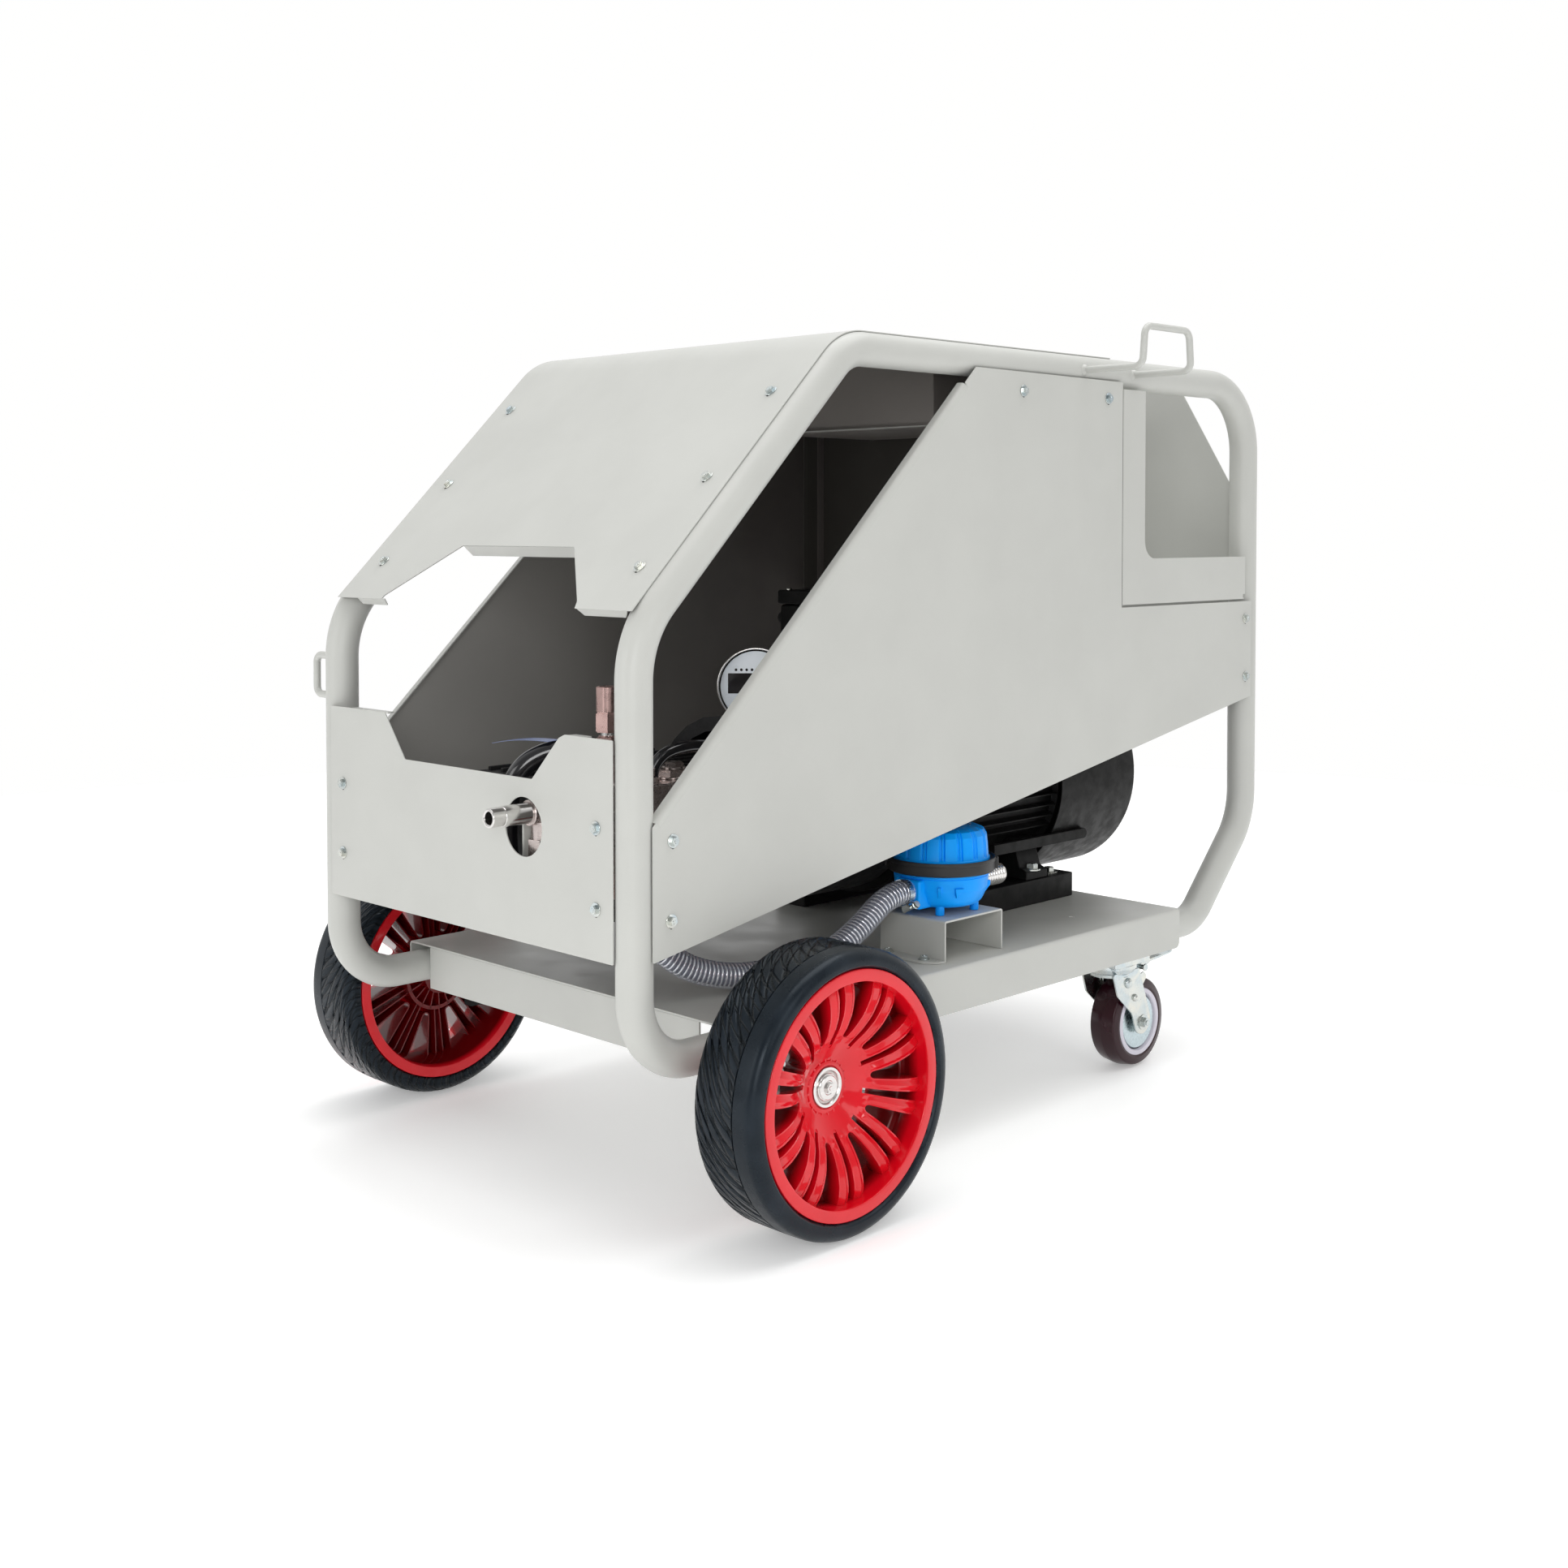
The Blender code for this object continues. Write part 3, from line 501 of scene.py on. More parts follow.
def smooth_route(points, steps):
    """Points along a Catmull-Rom curve through a route's own points."""
    route = [Vector(point) for point in points]
    route = [2 * route[0] - route[1], *route, 2 * route[-1] - route[-2]]
    made = []
    for a, b, c, d in zip(route, route[1:], route[2:], route[3:]):
        for step in range(steps):
            t = step / steps
            made.append(0.5 * (2 * b + (c - a) * t + (2 * a - 5 * b + 4 * c - d) * t * t
                               + (3 * b - a - 3 * c + d) * t ** 3))
    made.append(route[-2])
    return made


def swept(section, start, end, across, out):
    """A (a, b) section, a along across and b along out, drawn from start to end."""
    return solid([[Vector(base) + Vector(across) * a + Vector(out) * b for a, b in section]
                  for base in (start, end)])


def cut(target, bm):
    """Cut target with a bmesh in the target's own coordinates, and apply the result."""
    bmesh.ops.recalc_face_normals(bm, faces=bm.faces)
    mesh = bpy.data.meshes.new("cutter")
    bm.to_mesh(mesh)
    bm.free()
    helper = bpy.data.objects.new("cutter", mesh)
    helper.matrix_world = target.matrix_world.copy()
    bpy.context.scene.collection.objects.link(helper)
    modifier = target.modifiers.new("Cut", "BOOLEAN")
    modifier.solver = "EXACT"
    modifier.object = helper
    target.modifiers.move(len(target.modifiers) - 1, 0)
    rounding = [m for m in target.modifiers if m.type != "BOOLEAN"]
    for other in rounding:
        other.show_viewport = False
    bpy.context.view_layer.update()
    shape = target.evaluated_get(bpy.context.evaluated_depsgraph_get())
    result = bpy.data.meshes.new_from_object(shape)
    result.name = target.name
    target.modifiers.remove(modifier)
    for other in rounding:
        other.show_viewport = True
    target.data = result
    bpy.data.objects.remove(helper)
    bpy.data.meshes.remove(mesh)
    result.shade_smooth()
    result.set_sharp_from_angle(angle=math.radians(35))
    return target


def recoat(look, *nodes):
    """Give CAD nodes that stay in view a finished material."""
    for node in nodes:
        slots = frame["nodes"][node].data.materials
        slots.clear()
        slots.append(look.material)


# ------------------------------------------------------------------ camera, light and floor


def aim(thing, target):
    direction = Vector(target) - thing.location
    thing.rotation_euler = direction.to_track_quat("-Z", "Y").to_euler()


def make_camera():
    data = bpy.data.cameras.new("Camera")
    data.lens, data.sensor_width, data.shift_y = 42.53, 36.0, -0.1248
    camera = bpy.data.objects.new("Camera", data)
    bpy.context.scene.collection.objects.link(camera)
    bpy.context.scene.camera = camera
    camera.location = (2.0717, -1.4902 + FRONT_Y, 0.9062)
    turn, tilt = math.radians(44.765), math.radians(1.883)
    ahead = Vector((-math.sin(turn) * math.cos(tilt), math.cos(turn) * math.cos(tilt), -math.sin(tilt)))
    aim(camera, camera.location + ahead)


def area_light(name, place, target, size, power, colour=(1, 1, 1)):
    data = bpy.data.lights.new(name, "AREA")
    data.shape, data.size, data.energy, data.color = "SQUARE", size, power, colour
    lamp = bpy.data.objects.new(name, data)
    lamp.location = place
    bpy.context.scene.collection.objects.link(lamp)
    aim(lamp, target)


def make_light():
    world = bpy.data.worlds.new("Studio")
    bpy.context.scene.world = world
    world.use_nodes = True
    nodes, links = world.node_tree.nodes, world.node_tree.links
    place = nodes.new("ShaderNodeTexCoord").outputs["Generated"]
    facing = nodes.new("ShaderNodeVectorMath")
    facing.operation = "DOT_PRODUCT"
    facing.inputs[1].default_value = (-0.7, 0.7, 0.15)
    links.new(place, facing.inputs[0])
    share = nodes.new("ShaderNodeMapRange")
    for socket, value in ((1, -0.35), (2, 0.4), (3, 0.38), (4, 1.0)):
        share.inputs[socket].default_value = value
    links.new(facing.outputs["Value"], share.inputs[0])
    links.new(share.outputs[0], nodes["Background"].inputs[1])
    nodes["Background"].inputs[0].default_value = (1.0, 1.0, 0.995, 1)
    area_light("Key", (-0.9, -4.2, 1.5), (0, -0.2, 0.6), 2.0, 31)
    area_light("Side", (4.0, -0.6, 2.0), (0.2, 0.1, 0.5), 2.0, 20)
    area_light("Fill", (2.7, -3.2, 1.45), (0.1, 0, 0.6), 1.4, 36)
    area_light("Top", (0.3, 0.6, 4.6), (0.1, 0.3, 0), 4.0, 118)
    bpy.context.scene.view_settings.view_transform = "Standard"


def make_floor():
    floor = Look("studio_floor", (0.9, 0.9, 0.9), 0.6, Emission_Color=(1, 1, 1, 1),
                 Emission_Strength=0.26)
    floor.mottle(2.0, 0.004, 2.0)
    grain(floor, 60, 0.0002, 0.1)
    bm = bmesh.new()
    bmesh.ops.create_circle(bm, cap_ends=True, segments=128, radius=4.2)
    mesh = bpy.data.meshes.new("Floor")
    bm.to_mesh(mesh)
    bm.free()
    made = bpy.data.objects.new("Floor", mesh)
    made.location.z = -0.0006
    mesh.materials.append(floor.material)
    bpy.context.scene.collection.objects.link(made)


# ------------------------------------------------------------------ frame and sheet metal


def shade_bay_faces(made, faces_in, look=BAY_SHADE):
    """Give the faces that look into the machine bay a darker copy of the coat: painted shade."""
    made.data.materials.append(look.material)
    for face in made.data.polygons:
        if faces_in(face):
            face.material_index = 1
    return made


def make_loops():
    path = rounded(LOOP_CORNERS, 22)
    for side, sign in SIDES:
        points = [(sign * LOOP_X, y, z) for y, z in path]
        wire(f"tube_loop_{side}", points, TUBE_R, POWDER, closed=True, resolution=14,
             stands_for=(f"frame_loop_{side}",))


def fold_section(thick, radius, reach):
    """A folded edge, as (across, up): a flat wall, an outside bend and a flange."""
    outer, inner = [], [(reach, -thick)]
    for turn in (0, *QUARTER, math.pi / 2):
        wide, tight = radius, radius - thick
        outer.append((radius - wide * math.cos(turn), wide * math.sin(turn) - radius))
        inner.append((radius - tight * math.sin(turn), tight * math.cos(turn) - radius))
    return outer + [(reach, 0)] + inner


def make_tray():
    """The base tray: a deck with folded sides and end flanges, and softened corners."""
    low, high = span("base_tray")
    wall, bend = 0.003, 0.006
    half, inner = high.x, high.x - wall
    outline = [(-half, low.z, 0), (-inner, low.z, 0), (-inner, high.z - wall, bend - wall),
               (inner, high.z - wall, bend - wall), (inner, low.z, 0), (half, low.z, 0),
               (half, high.z, bend), (-half, high.z, bend)]
    tray = piece("tray_deck", prism(rounded(outline, 5), "Y", low.y, high.y), POWDER,
                 stands_for=("base_tray",), bevel=EDGE)
    radius, past = 0.011, 0.01  # of a skirt's lower corners, and of the cutter beyond them
    for end, inside in ((low.y, 1), (high.y, -1)):
        edge = end + inside * radius
        for sign in (1, -1):
            shape = [(end - inside * past, low.z - past), (edge, low.z - past), (edge, low.z)]
            shape += [(edge - inside * radius * math.sin(turn), low.z + radius * (1 - math.cos(turn)))
                      for turn in QUARTER]
            shape += [(end, low.z + radius), (end - inside * past, low.z + radius)]
            cut(tray, prism(shape, "X", *both(sign, inner - past, half + past)))
    between = LOOP_X - TUBE_R - 0.003
    for name, start in (("front", low.y), ("rear", high.y - wall)):
        flange = block((-between, start, low.z), (between, start + wall, high.z - wall))
        piece(f"tray_flange_{name}", flange, POWDER, bevel=EDGE)
    cut(tray, moved(rod(0.004, high.z - 0.01, high.z + 0.01, steps=20), (0.269, 1.001, 0)))


def make_front_panel():
    back = -TUBE_R - GAP
    edge, low, top = 0.322, 0.365, 0.644
    outline = [(-edge, low, 0.002), (edge, low, 0.002), (edge, top, 0.002), (0.228, top, 0.004),
               (0.216, 0.639, 0.004), (0.16, 0.581, 0.004), (-0.13, 0.581, 0.003), (-0.18, top, 0),
               (-edge, top, 0.002)]
    panel = piece("panel_front", prism(rounded(outline, 4), "Y", back - SHEET, back), POWDER,
                  stands_for=("front_lower_panel",), bevel=EDGE)
    cut(panel, moved(rod(0.039, -0.1, 0.1, "Y", 72), (0.142, 0, 0.517)))
    # Painted shade on the panel's inner face.
    shade_bay_faces(panel, lambda face: face.normal.y > 0.7)
    near, far = back - 0.0012, back + 0.0118  # the folds reach from the sheet to the rear
    for name, start, end, taper_left, taper_right in (("left", -edge + 0.052, -0.172, 0, 0.005),
                                                      ("right", 0.232, edge - 0.052, 0.003, 0.004)):
        fold = ((start, near), (end, near), (end - taper_right, far), (start + taper_left, far))
        piece(f"panel_front_fold_{name}", prism(fold, "Z", top - SHEET, top), POWDER, bevel=EDGE)


def hood_profile(offset):
    """The hood's slope, bend and roof at a distance outside the tubes' centreline."""
    rise = offset * math.sqrt(2)
    start = Vector((NOSE_Z - SLOPE_Z - rise, NOSE_Z))
    bend = Vector((RAIL_Z + offset - SLOPE_Z - rise, RAIL_Z + offset))
    end = Vector((ROOF_END, RAIL_Z + offset))
    return rounded([(*start, 0), (*bend, LOOP_CORNERS[2][2] + offset), (*end, 0)], 16, closed=False)


def slope_y(z, offset):
    """The machine Y of the hood's slope at a height, at a distance from its centreline."""
    return z - SLOPE_Z - offset * math.sqrt(2)


def make_hood():
    under, over = TUBE_R + GAP, TUBE_R + GAP + SHEET
    section = hood_profile(over) + hood_profile(under)[::-1]
    hood = piece("hood_sheet", prism(section, "X", -HOOD_HALF, HOOD_HALF), POWDER,
                 stands_for=("hood_panel",), bevel=EDGE)
    notch = [(-0.125, 0.88, 0.004), (-0.218, 0.808, 0.003), (-0.218, 0.79, 0), (0.232, 0.79, 0),
             (0.218, 0.812, 0.003), (0.128, 0.88, 0.004)]
    cut(hood, prism(rounded(notch, 4), "Y", -0.1, 0.2))
    # Painted shade on the hood's underside.
    shade_bay_faces(hood, lambda face: face.normal.z < -0.5)
    inward = Vector((0, 1, -1)).normalized()
    up = Vector((0, 1, 1)).normalized()

    def lip(name, left, right, z, depth, taper_left=0.0, taper_right=0.0):
        """A flange folded in from an edge of the slope, square to the sheet."""
        base = Vector((0, slope_y(z, over), z)) + inward * 0.001
        corners = ((left, 0), (right, 0), (right - taper_right, depth), (left + taper_left, depth))
        bm = swept(corners, base, base + up * SHEET, (1, 0, 0), inward)
        piece(name, bm, POWDER, bevel=EDGE)

    lip("hood_lip_notch", -0.124, 0.127, 0.88, 0.02, 0.003, 0.003)
    nose = NOSE_Z + 0.0006
    lip("hood_lip_left", -0.281, -0.211, nose, 0.013, 0, 0.006)
    lip("hood_lip_right", 0.226, LOOP_X - 0.006, nose, 0.013, 0.006, 0.013)
    half = 0.3
    rear = block((-half, ROOF_END - SHEET, RAIL_Z + TUBE_R - 0.014),
                 (half, ROOF_END, RAIL_Z + TUBE_R + 0.0013))
    piece("hood_lip_rear", rear, POWDER, bevel=EDGE)


def make_side_panels():
    front, low, rear, step = 0.008, 0.367, 1.408, 1.0105
    top_left, foot = Vector((0.637, 1.141)), Vector((front, 0.536))
    along = (top_left - foot).normalized()
    down = Vector((along.y, -along.x))
    bend = 0.0085
    lower = foot + along * 0.008
    upper = foot + along * 0.838
    edge = [top_left, upper, upper + down * bend, lower + down * bend, lower, foot]
    outline = [(front, low, 0.002), (rear, 0.609, 0.002), (rear, 0.777, 0.002), (step, 0.777, 0),
               (step, 1.139, 0.002)]
    outline += [(*point, 0) for point in edge]
    inner = PANEL_X - SHEET
    section = fold_section(SHEET, bend, 0.016)
    for side, sign in SIDES:
        panel = piece(f"panel_side_{side}", prism(rounded(outline, 3), "X", *both(sign, inner, PANEL_X)),
                      POWDER, stands_for=(f"side_panel_{side}",), bevel=EDGE)
        # Painted shade on each side panel's inner face.
        shade_bay_faces(panel, lambda face, sign=sign: face.normal.x * sign < -0.7)
        start = (sign * PANEL_X, lower.x, lower.y)
        end = (sign * PANEL_X, upper.x, upper.y)
        fold = swept(section, start, end, (-sign, 0, 0), (0, -down.x, -down.y))
        piece(f"panel_side_fold_{side}", fold, POWDER)


def make_bin():
    low, high = span("bin_side_right")
    start, end, floor_z, strip_top = low.y, high.y, low.z, high.z
    sill, strip_end = 0.855, 1.075
    shape = [(start, floor_z, 0), (end, floor_z, 0.002), (end, sill, 0.002), (strip_end, sill, 0.03),
             (strip_end, strip_top, 0.002), (start, strip_top, 0)]
    notch = block((-1, end - 0.007, floor_z - 0.001), (1, end + 0.001, floor_z + 0.0085))
    for side, sign in SIDES:
        wall = piece(f"bin_wall_{side}", prism(rounded(shape, 8), "X",
                                               *both(sign, PANEL_X - SHEET, PANEL_X)), POWDER,
                     stands_for=(f"bin_side_{side}",), bevel=EDGE)
        cut(wall, notch.copy())
        inner, reach = PANEL_X - SHEET - 0.0001, 0.012
        x = both(sign, inner, inner - reach)
        fold = block((x[0], strip_end + 0.035, sill - SHEET), (x[1], end - 0.005, sill))
        piece(f"bin_sill_fold_{side}", fold, POWDER, bevel=EDGE)
    notch.free()
    low, high = span("bin_bulkhead")
    rail_clear = LOOP_X - TUBE_R - 0.002
    sheet = [(-high.x, low.z, 0), (high.x, low.z, 0), (high.x, strip_top, 0),
             (rail_clear, strip_top, 0.004), (rail_clear, high.z, 0.003), (-rail_clear, high.z, 0.003),
             (-rail_clear, strip_top, 0.004), (-high.x, strip_top, 0)]
    wall = piece("bin_bulkhead_sheet", prism(rounded(sheet, 4), "Y", low.y, high.y), POWDER,
                 stands_for=("bin_bulkhead",), bevel=EDGE)
    # Darker painted shade on the bulkhead's face towards the motor bay.
    shade_bay_faces(wall, lambda face: face.normal.y < -0.7, BAY_SHADE_REAR)
    # The bulkhead's flanges carry painted shade all over.
    for side, sign in SIDES:
        x = both(sign, 0.305, 0.3066)
        piece(f"bulkhead_flange_{side}", block((x[0], low.y - 0.016, low.z),
                                               (x[1], low.y - 0.0001, 1.12)), BAY_SHADE, bevel=EDGE)
    low, high = span("bin_floor")
    floor = piece("bin_floor_sheet", block(low, high), POWDER, stands_for=("bin_floor",), bevel=EDGE)
    # Painted shade on the floor's underside.
    shade_bay_faces(floor, lambda face: face.normal.z < -0.7)


def make_rear_panel():
    low, high = span("rear_panel")
    slant, half_top = 0.934, 0.183
    outline = [(low.x, low.z, 0.003), (high.x, low.z, 0.003), (high.x, slant, 0.006),
               (half_top, high.z, 0.006), (-half_top, high.z, 0.006), (low.x, slant, 0.006)]
    piece("panel_rear", prism(rounded(outline, 4), "Y", low.y, high.y), POWDER,
          stands_for=("rear_panel",), bevel=EDGE)


def make_control_box():
    """The switch box under the roof, with the folded flange round its lower edge."""
    low, high = span("control_box")
    piece("switch_box", block(low, high), SWITCH_GREY, stands_for=("control_box",), bevel=0.002, steps=3)
    rim = 0.014
    outer = block((low.x - rim, low.y - rim, low.z + 0.001),
                  (high.x + rim, high.y - 0.001, low.z + 0.0028))
    piece("switch_box_flange", outer, POWDER, bevel=EDGE)


def make_hooks():
    start, reach, rod_r = PANEL_X - SHEET, 0.463, 0.0055
    front, rear, top = 0.909, 1.043, span("hose_hook")[1].z - rod_r
    hose = [(start, front, RAIL_Z, 0), (reach, front, RAIL_Z, 0.014), (reach, front + 0.006, top, 0.016),
            (reach, rear - 0.006, top, 0.016), (reach, rear, RAIL_Z, 0.014), (start, rear, RAIL_Z, 0)]
    wire("hose_hook_rod", rounded(hose, 9, closed=False), rod_r, POWDER, stands_for=("hose_hook",),
         resolution=8)
    low, high, out = 0.655, 0.714, 0.402
    cable = [(-start, 0, high, 0), (-out, 0, high, 0.012), (-out, 0, low, 0.012), (-start, 0, low, 0)]
    wire("cable_hook_rod", rounded(cable, 9, closed=False), rod_r, POWDER, stands_for=("cable_hook",),
         resolution=8)
    feet = ((start, front, RAIL_Z), (start, rear, RAIL_Z), (-start, 0, high), (-start, 0, low))
    for number, place in enumerate(feet):
        bead = turned(((rod_r * 0.9, 0.004), (rod_r + 0.0035, -0.001), (rod_r + 0.0015, 0.0022),
                       (rod_r + 0.0004, 0.0046)), "X", 28)
        if place[0] < 0:
            moved(bead, angle=math.pi)
        piece(f"weld_{number}", bead, POWDER, place=place, crease=80)


def hex_head(radius, height):
    """A hexagon head with its corners turned off, standing on z = 0."""
    corners = [(radius * math.cos(math.tau * i / 6), radius * math.sin(math.tau * i / 6))
               for i in range(6)]
    bm = prism(corners, "Z", 0, height)
    top = [edge for edge in bm.edges if all(v.co.z > height * 0.99 for v in edge.verts)]
    bmesh.ops.bevel(bm, geom=top, offset=radius * 0.1, segments=2, affect="EDGES")
    return bm


def bolt_shape(radius=0.0062):
    washer = turned(((0, 0), (radius * 1.42, 0), (radius * 1.45, 0.0004), (radius * 1.45, 0.0012),
                     (radius * 1.4, 0.0015), (0, 0.0015)), steps=32)
    head = moved(hex_head(radius, 0.0045), (0, 0, 0.0015), 0.3)
    tip = turned(((0, 0.006), (radius * 0.42, 0.006), (radius * 0.36, 0.0068), (0, 0.0068)), steps=16)
    return merged(washer, head, tip)


def stand(bm, place, out, spin=0.0):
    """Turn a shape whose axis is Z so that it stands out along a direction."""
    turn = Vector((0, 0, 1)).rotation_difference(Vector(out)).to_matrix()
    bmesh.ops.rotate(bm, verts=bm.verts, cent=(0, 0, 0), matrix=turn @ Matrix.Rotation(spin, 3, "Z"))
    bmesh.ops.translate(bm, verts=bm.verts, vec=Vector(place))
    return bm


def make_bolts():
    over = TUBE_R + GAP + SHEET
    slope_out = Vector((0, -1, 1)).normalized()
    spots = []
    for x in (-0.29, 0.29):
        spots += [((x, slope_y(z, over), z), slope_out) for z in (1.09, 0.972, 0.856)]
        spots += [((x, -over, z), (0, -1, 0)) for z in (0.532, 0.43)]
    panel_spots = ((0.75, 1.112), (0.97, 1.111), (1.388, 0.747), (1.389, 0.645), (0.041, 0.516),
                   (0.038, 0.416))
    for sign in (1, -1):
        spots += [((sign * PANEL_X, y, z), (sign, 0, 0)) for y, z in panel_spots]
    for number, (place, out) in enumerate(spots):
        bm = stand(bolt_shape(), place, out, 0.7 * number)
        piece(f"bolt_{number:02d}", bm, ZINC, crease=30)
        # The end of the panel's slot shows below each washer as a thin near-black sheet on the panel:
        # painted shade, not a cut hole.
        place, out = Vector(place), Vector(out)
        down = Vector((0, 0, -1))
        down = (down - out * down.dot(out)).normalized()
        half, reach = 0.0026, 0.0075
        turns = [math.pi * step / 12 for step in range(13)]
        slot = [(half * math.cos(turn), reach + half * math.sin(turn)) for turn in turns]
        bm = swept([*slot, (-half, 0), (half, 0)], place + out * 0.00005, place + out * 0.0003,
                   out.cross(down), down)
        piece(f"bolt_slot_shade_{number:02d}", bm, SHADE_BLACK)


# ------------------------------------------------------------------ wheels


def turned_arc(profile, steps, mirror=1):
    """A profile of (radius, x) turned round the X axis, x to be multiplied by mirror."""
    return turned([(radius, mirror * x) for radius, x in profile], "X", steps)


def grooved_tyre(profile, mirror):
    """A (radius, x) profile turned round X, with swept grooves cut into its tread."""
    bm = bmesh.new()
    rows = []
    for radius, x in profile:
        inwards = max(0, TREAD_EDGE - x)
        sweep = inwards * TREAD_LEAN + inwards * inwards * TREAD_CURL
        deep = min(1.0, inwards / 0.002, max(0, (x - WHEEL_IN - 0.004) / 0.004))
        row = []
        for tooth in range(TREAD_TEETH):
            for share, cut_in in ((0.32, 0), (0.47, 1), (0.53, 1), (0.68, 0), (1.0, 0)):
                angle = (tooth + share) * math.tau / TREAD_TEETH - sweep
                reach = radius - TREAD_DEPTH * deep * cut_in
                row.append(bm.verts.new((mirror * x, reach * math.cos(angle), reach * math.sin(angle))))
        rows.append(row)
    skin(bm, rows + rows[:1])
    return bm


def make_tyres():
    r, wide, narrow = WHEEL_R, WHEEL_OUT, WHEEL_IN
    bead = 0.1602
    profile = [(bead, wide - 0.006, 0), (bead + 0.004, wide - 0.0005, 0.003),
               (r - 0.001, wide - 0.0005, 0.016), (r, wide - 0.0345, 0), (r - 0.0012, wide - 0.035, 0),
               (r - 0.0012, wide - 0.0358, 0), (r, wide - 0.0363, 0),
               *((r, wide - 0.037 - 0.003 * step, 0) for step in range(14)), (r, narrow + 0.004, 0.02),
               (r - 0.014, narrow + 0.0005, 0.008), (bead + 0.002, narrow + 0.0005, 0.003),
               (bead, narrow + 0.006, 0)]
    for side, sign in SIDES:
        piece(f"wheel_tyre_{side}", grooved_tyre(rounded(profile, 7, closed=False), sign), TYRE,
              f"wheel_{side}", (0, WHEEL_Y, WHEEL_R), (f"tyre_{side}",))


def web_x(radius):
    """How far out the wheel's spoked face lies at a radius: a shallow bowl."""
    table = ((0.026, 0.444), (0.034, 0.446), (0.05, 0.454), (0.065, 0.462), (0.081, 0.472), (0.1, 0.48),
             (0.118, 0.483), (0.132, 0.4825), (0.15, 0.477))
    for (r0, x0), (r1, x1) in zip(table, table[1:]):
        if radius <= r1:
            share = (radius - r0) / (r1 - r0)
            return x0 + (x1 - x0) * share
    return table[-1][1]


def slot_half(radius, start, first, last, end=0.146):
    """Half the width of a slot with a rounded inner end."""
    if radius <= start:
        return 0.0
    width = first + (last - first) * (radius - start) / (end - start)
    return math.sqrt(max(0, 1 - max(0, 1 - (radius - start) / first) ** 2)) * width


def make_spokes(side, sign):
    """Twenty spokes in ten pairs, each with a raised leaf, on a bowl-shaped web."""
    bm = bmesh.new()
    radii = [0.0268, 0.03, 0.034, 0.04, 0.046, 0.051, 0.054]
    radii += [0.054 + step for step in (0.0003, 0.0009, 0.0018, 0.003, 0.005, 0.008)]
    radii += [0.0645, 0.0665, 0.0668, 0.0674, 0.0684, 0.07, 0.0722, 0.075, 0.079]
    radii += [0.084, 0.09, 0.097, 0.104, 0.112, 0.12, 0.128, 0.135, 0.141, 0.1455]
    shares = [0, 0.05, 0.12, 0.18, 0.26, 0.36, 0.47, 0.5, 0.53, 0.64, 0.74, 0.82, 0.88, 0.95, 1]
    for pair in range(10):
        middle = math.radians(94 - 36 * pair)
        for way in (1, -1):
            rows = []
            for radius in radii:
                near = math.asin(slot_half(radius, 0.054, 0.003, 0.0062) / radius)
                far = math.radians(18) - math.asin(slot_half(radius, 0.0665, 0.004, 0.0205) / radius)
                rise = min(1.0, max(0, (radius - 0.06) / 0.014)) ** 0.7
                row = []
                for share in shares:
                    angle = middle + way * (near + (far - near) * share)
                    leaf = max(0, 1 - abs(share - 0.5) / 0.36)
                    height = 0.0042 * rise * (leaf ** 0.85)
                    row.append(bm.verts.new((sign * (web_x(radius) + height), radius * math.cos(angle),
                                             radius * math.sin(angle))))
                rows.append(row)
            for inner, outer in zip(rows, rows[1:]):
                for i in range(len(shares) - 1):
                    bm.faces.new((inner[i], inner[i + 1], outer[i + 1], outer[i]))
    bmesh.ops.remove_doubles(bm, verts=bm.verts, dist=2e-5)
    bmesh.ops.recalc_face_normals(bm, faces=bm.faces)
    walls = []
    for edge in bm.edges:
        reach = [math.hypot(v.co.y, v.co.z) for v in edge.verts]
        if len(edge.link_faces) == 1 and min(reach) > 0.05 and min(reach) < 0.145:
            walls.append(edge)
    made = bmesh.ops.extrude_edge_only(bm, edges=walls)["geom"]
    for vert in [item for item in made if isinstance(item, bmesh.types.BMVert)]:
        vert.co.x = sign * 0.428
    web = piece(f"wheel_spokes_{side}", bm, RED, f"wheel_{side}", (0, WHEEL_Y, WHEEL_R), crease=32)
    shell = web.modifiers.new("Wall", "SOLIDIFY")
    shell.thickness = 0.0022
    shell.offset = -1.0
    shell.use_even_offset = False
    soften = web.modifiers.new("Rounding", "BEVEL")
    soften.width, soften.segments = 0.0006, 2
    soften.limit_method, soften.angle_limit = "ANGLE", math.radians(50)
    soften.harden_normals = True


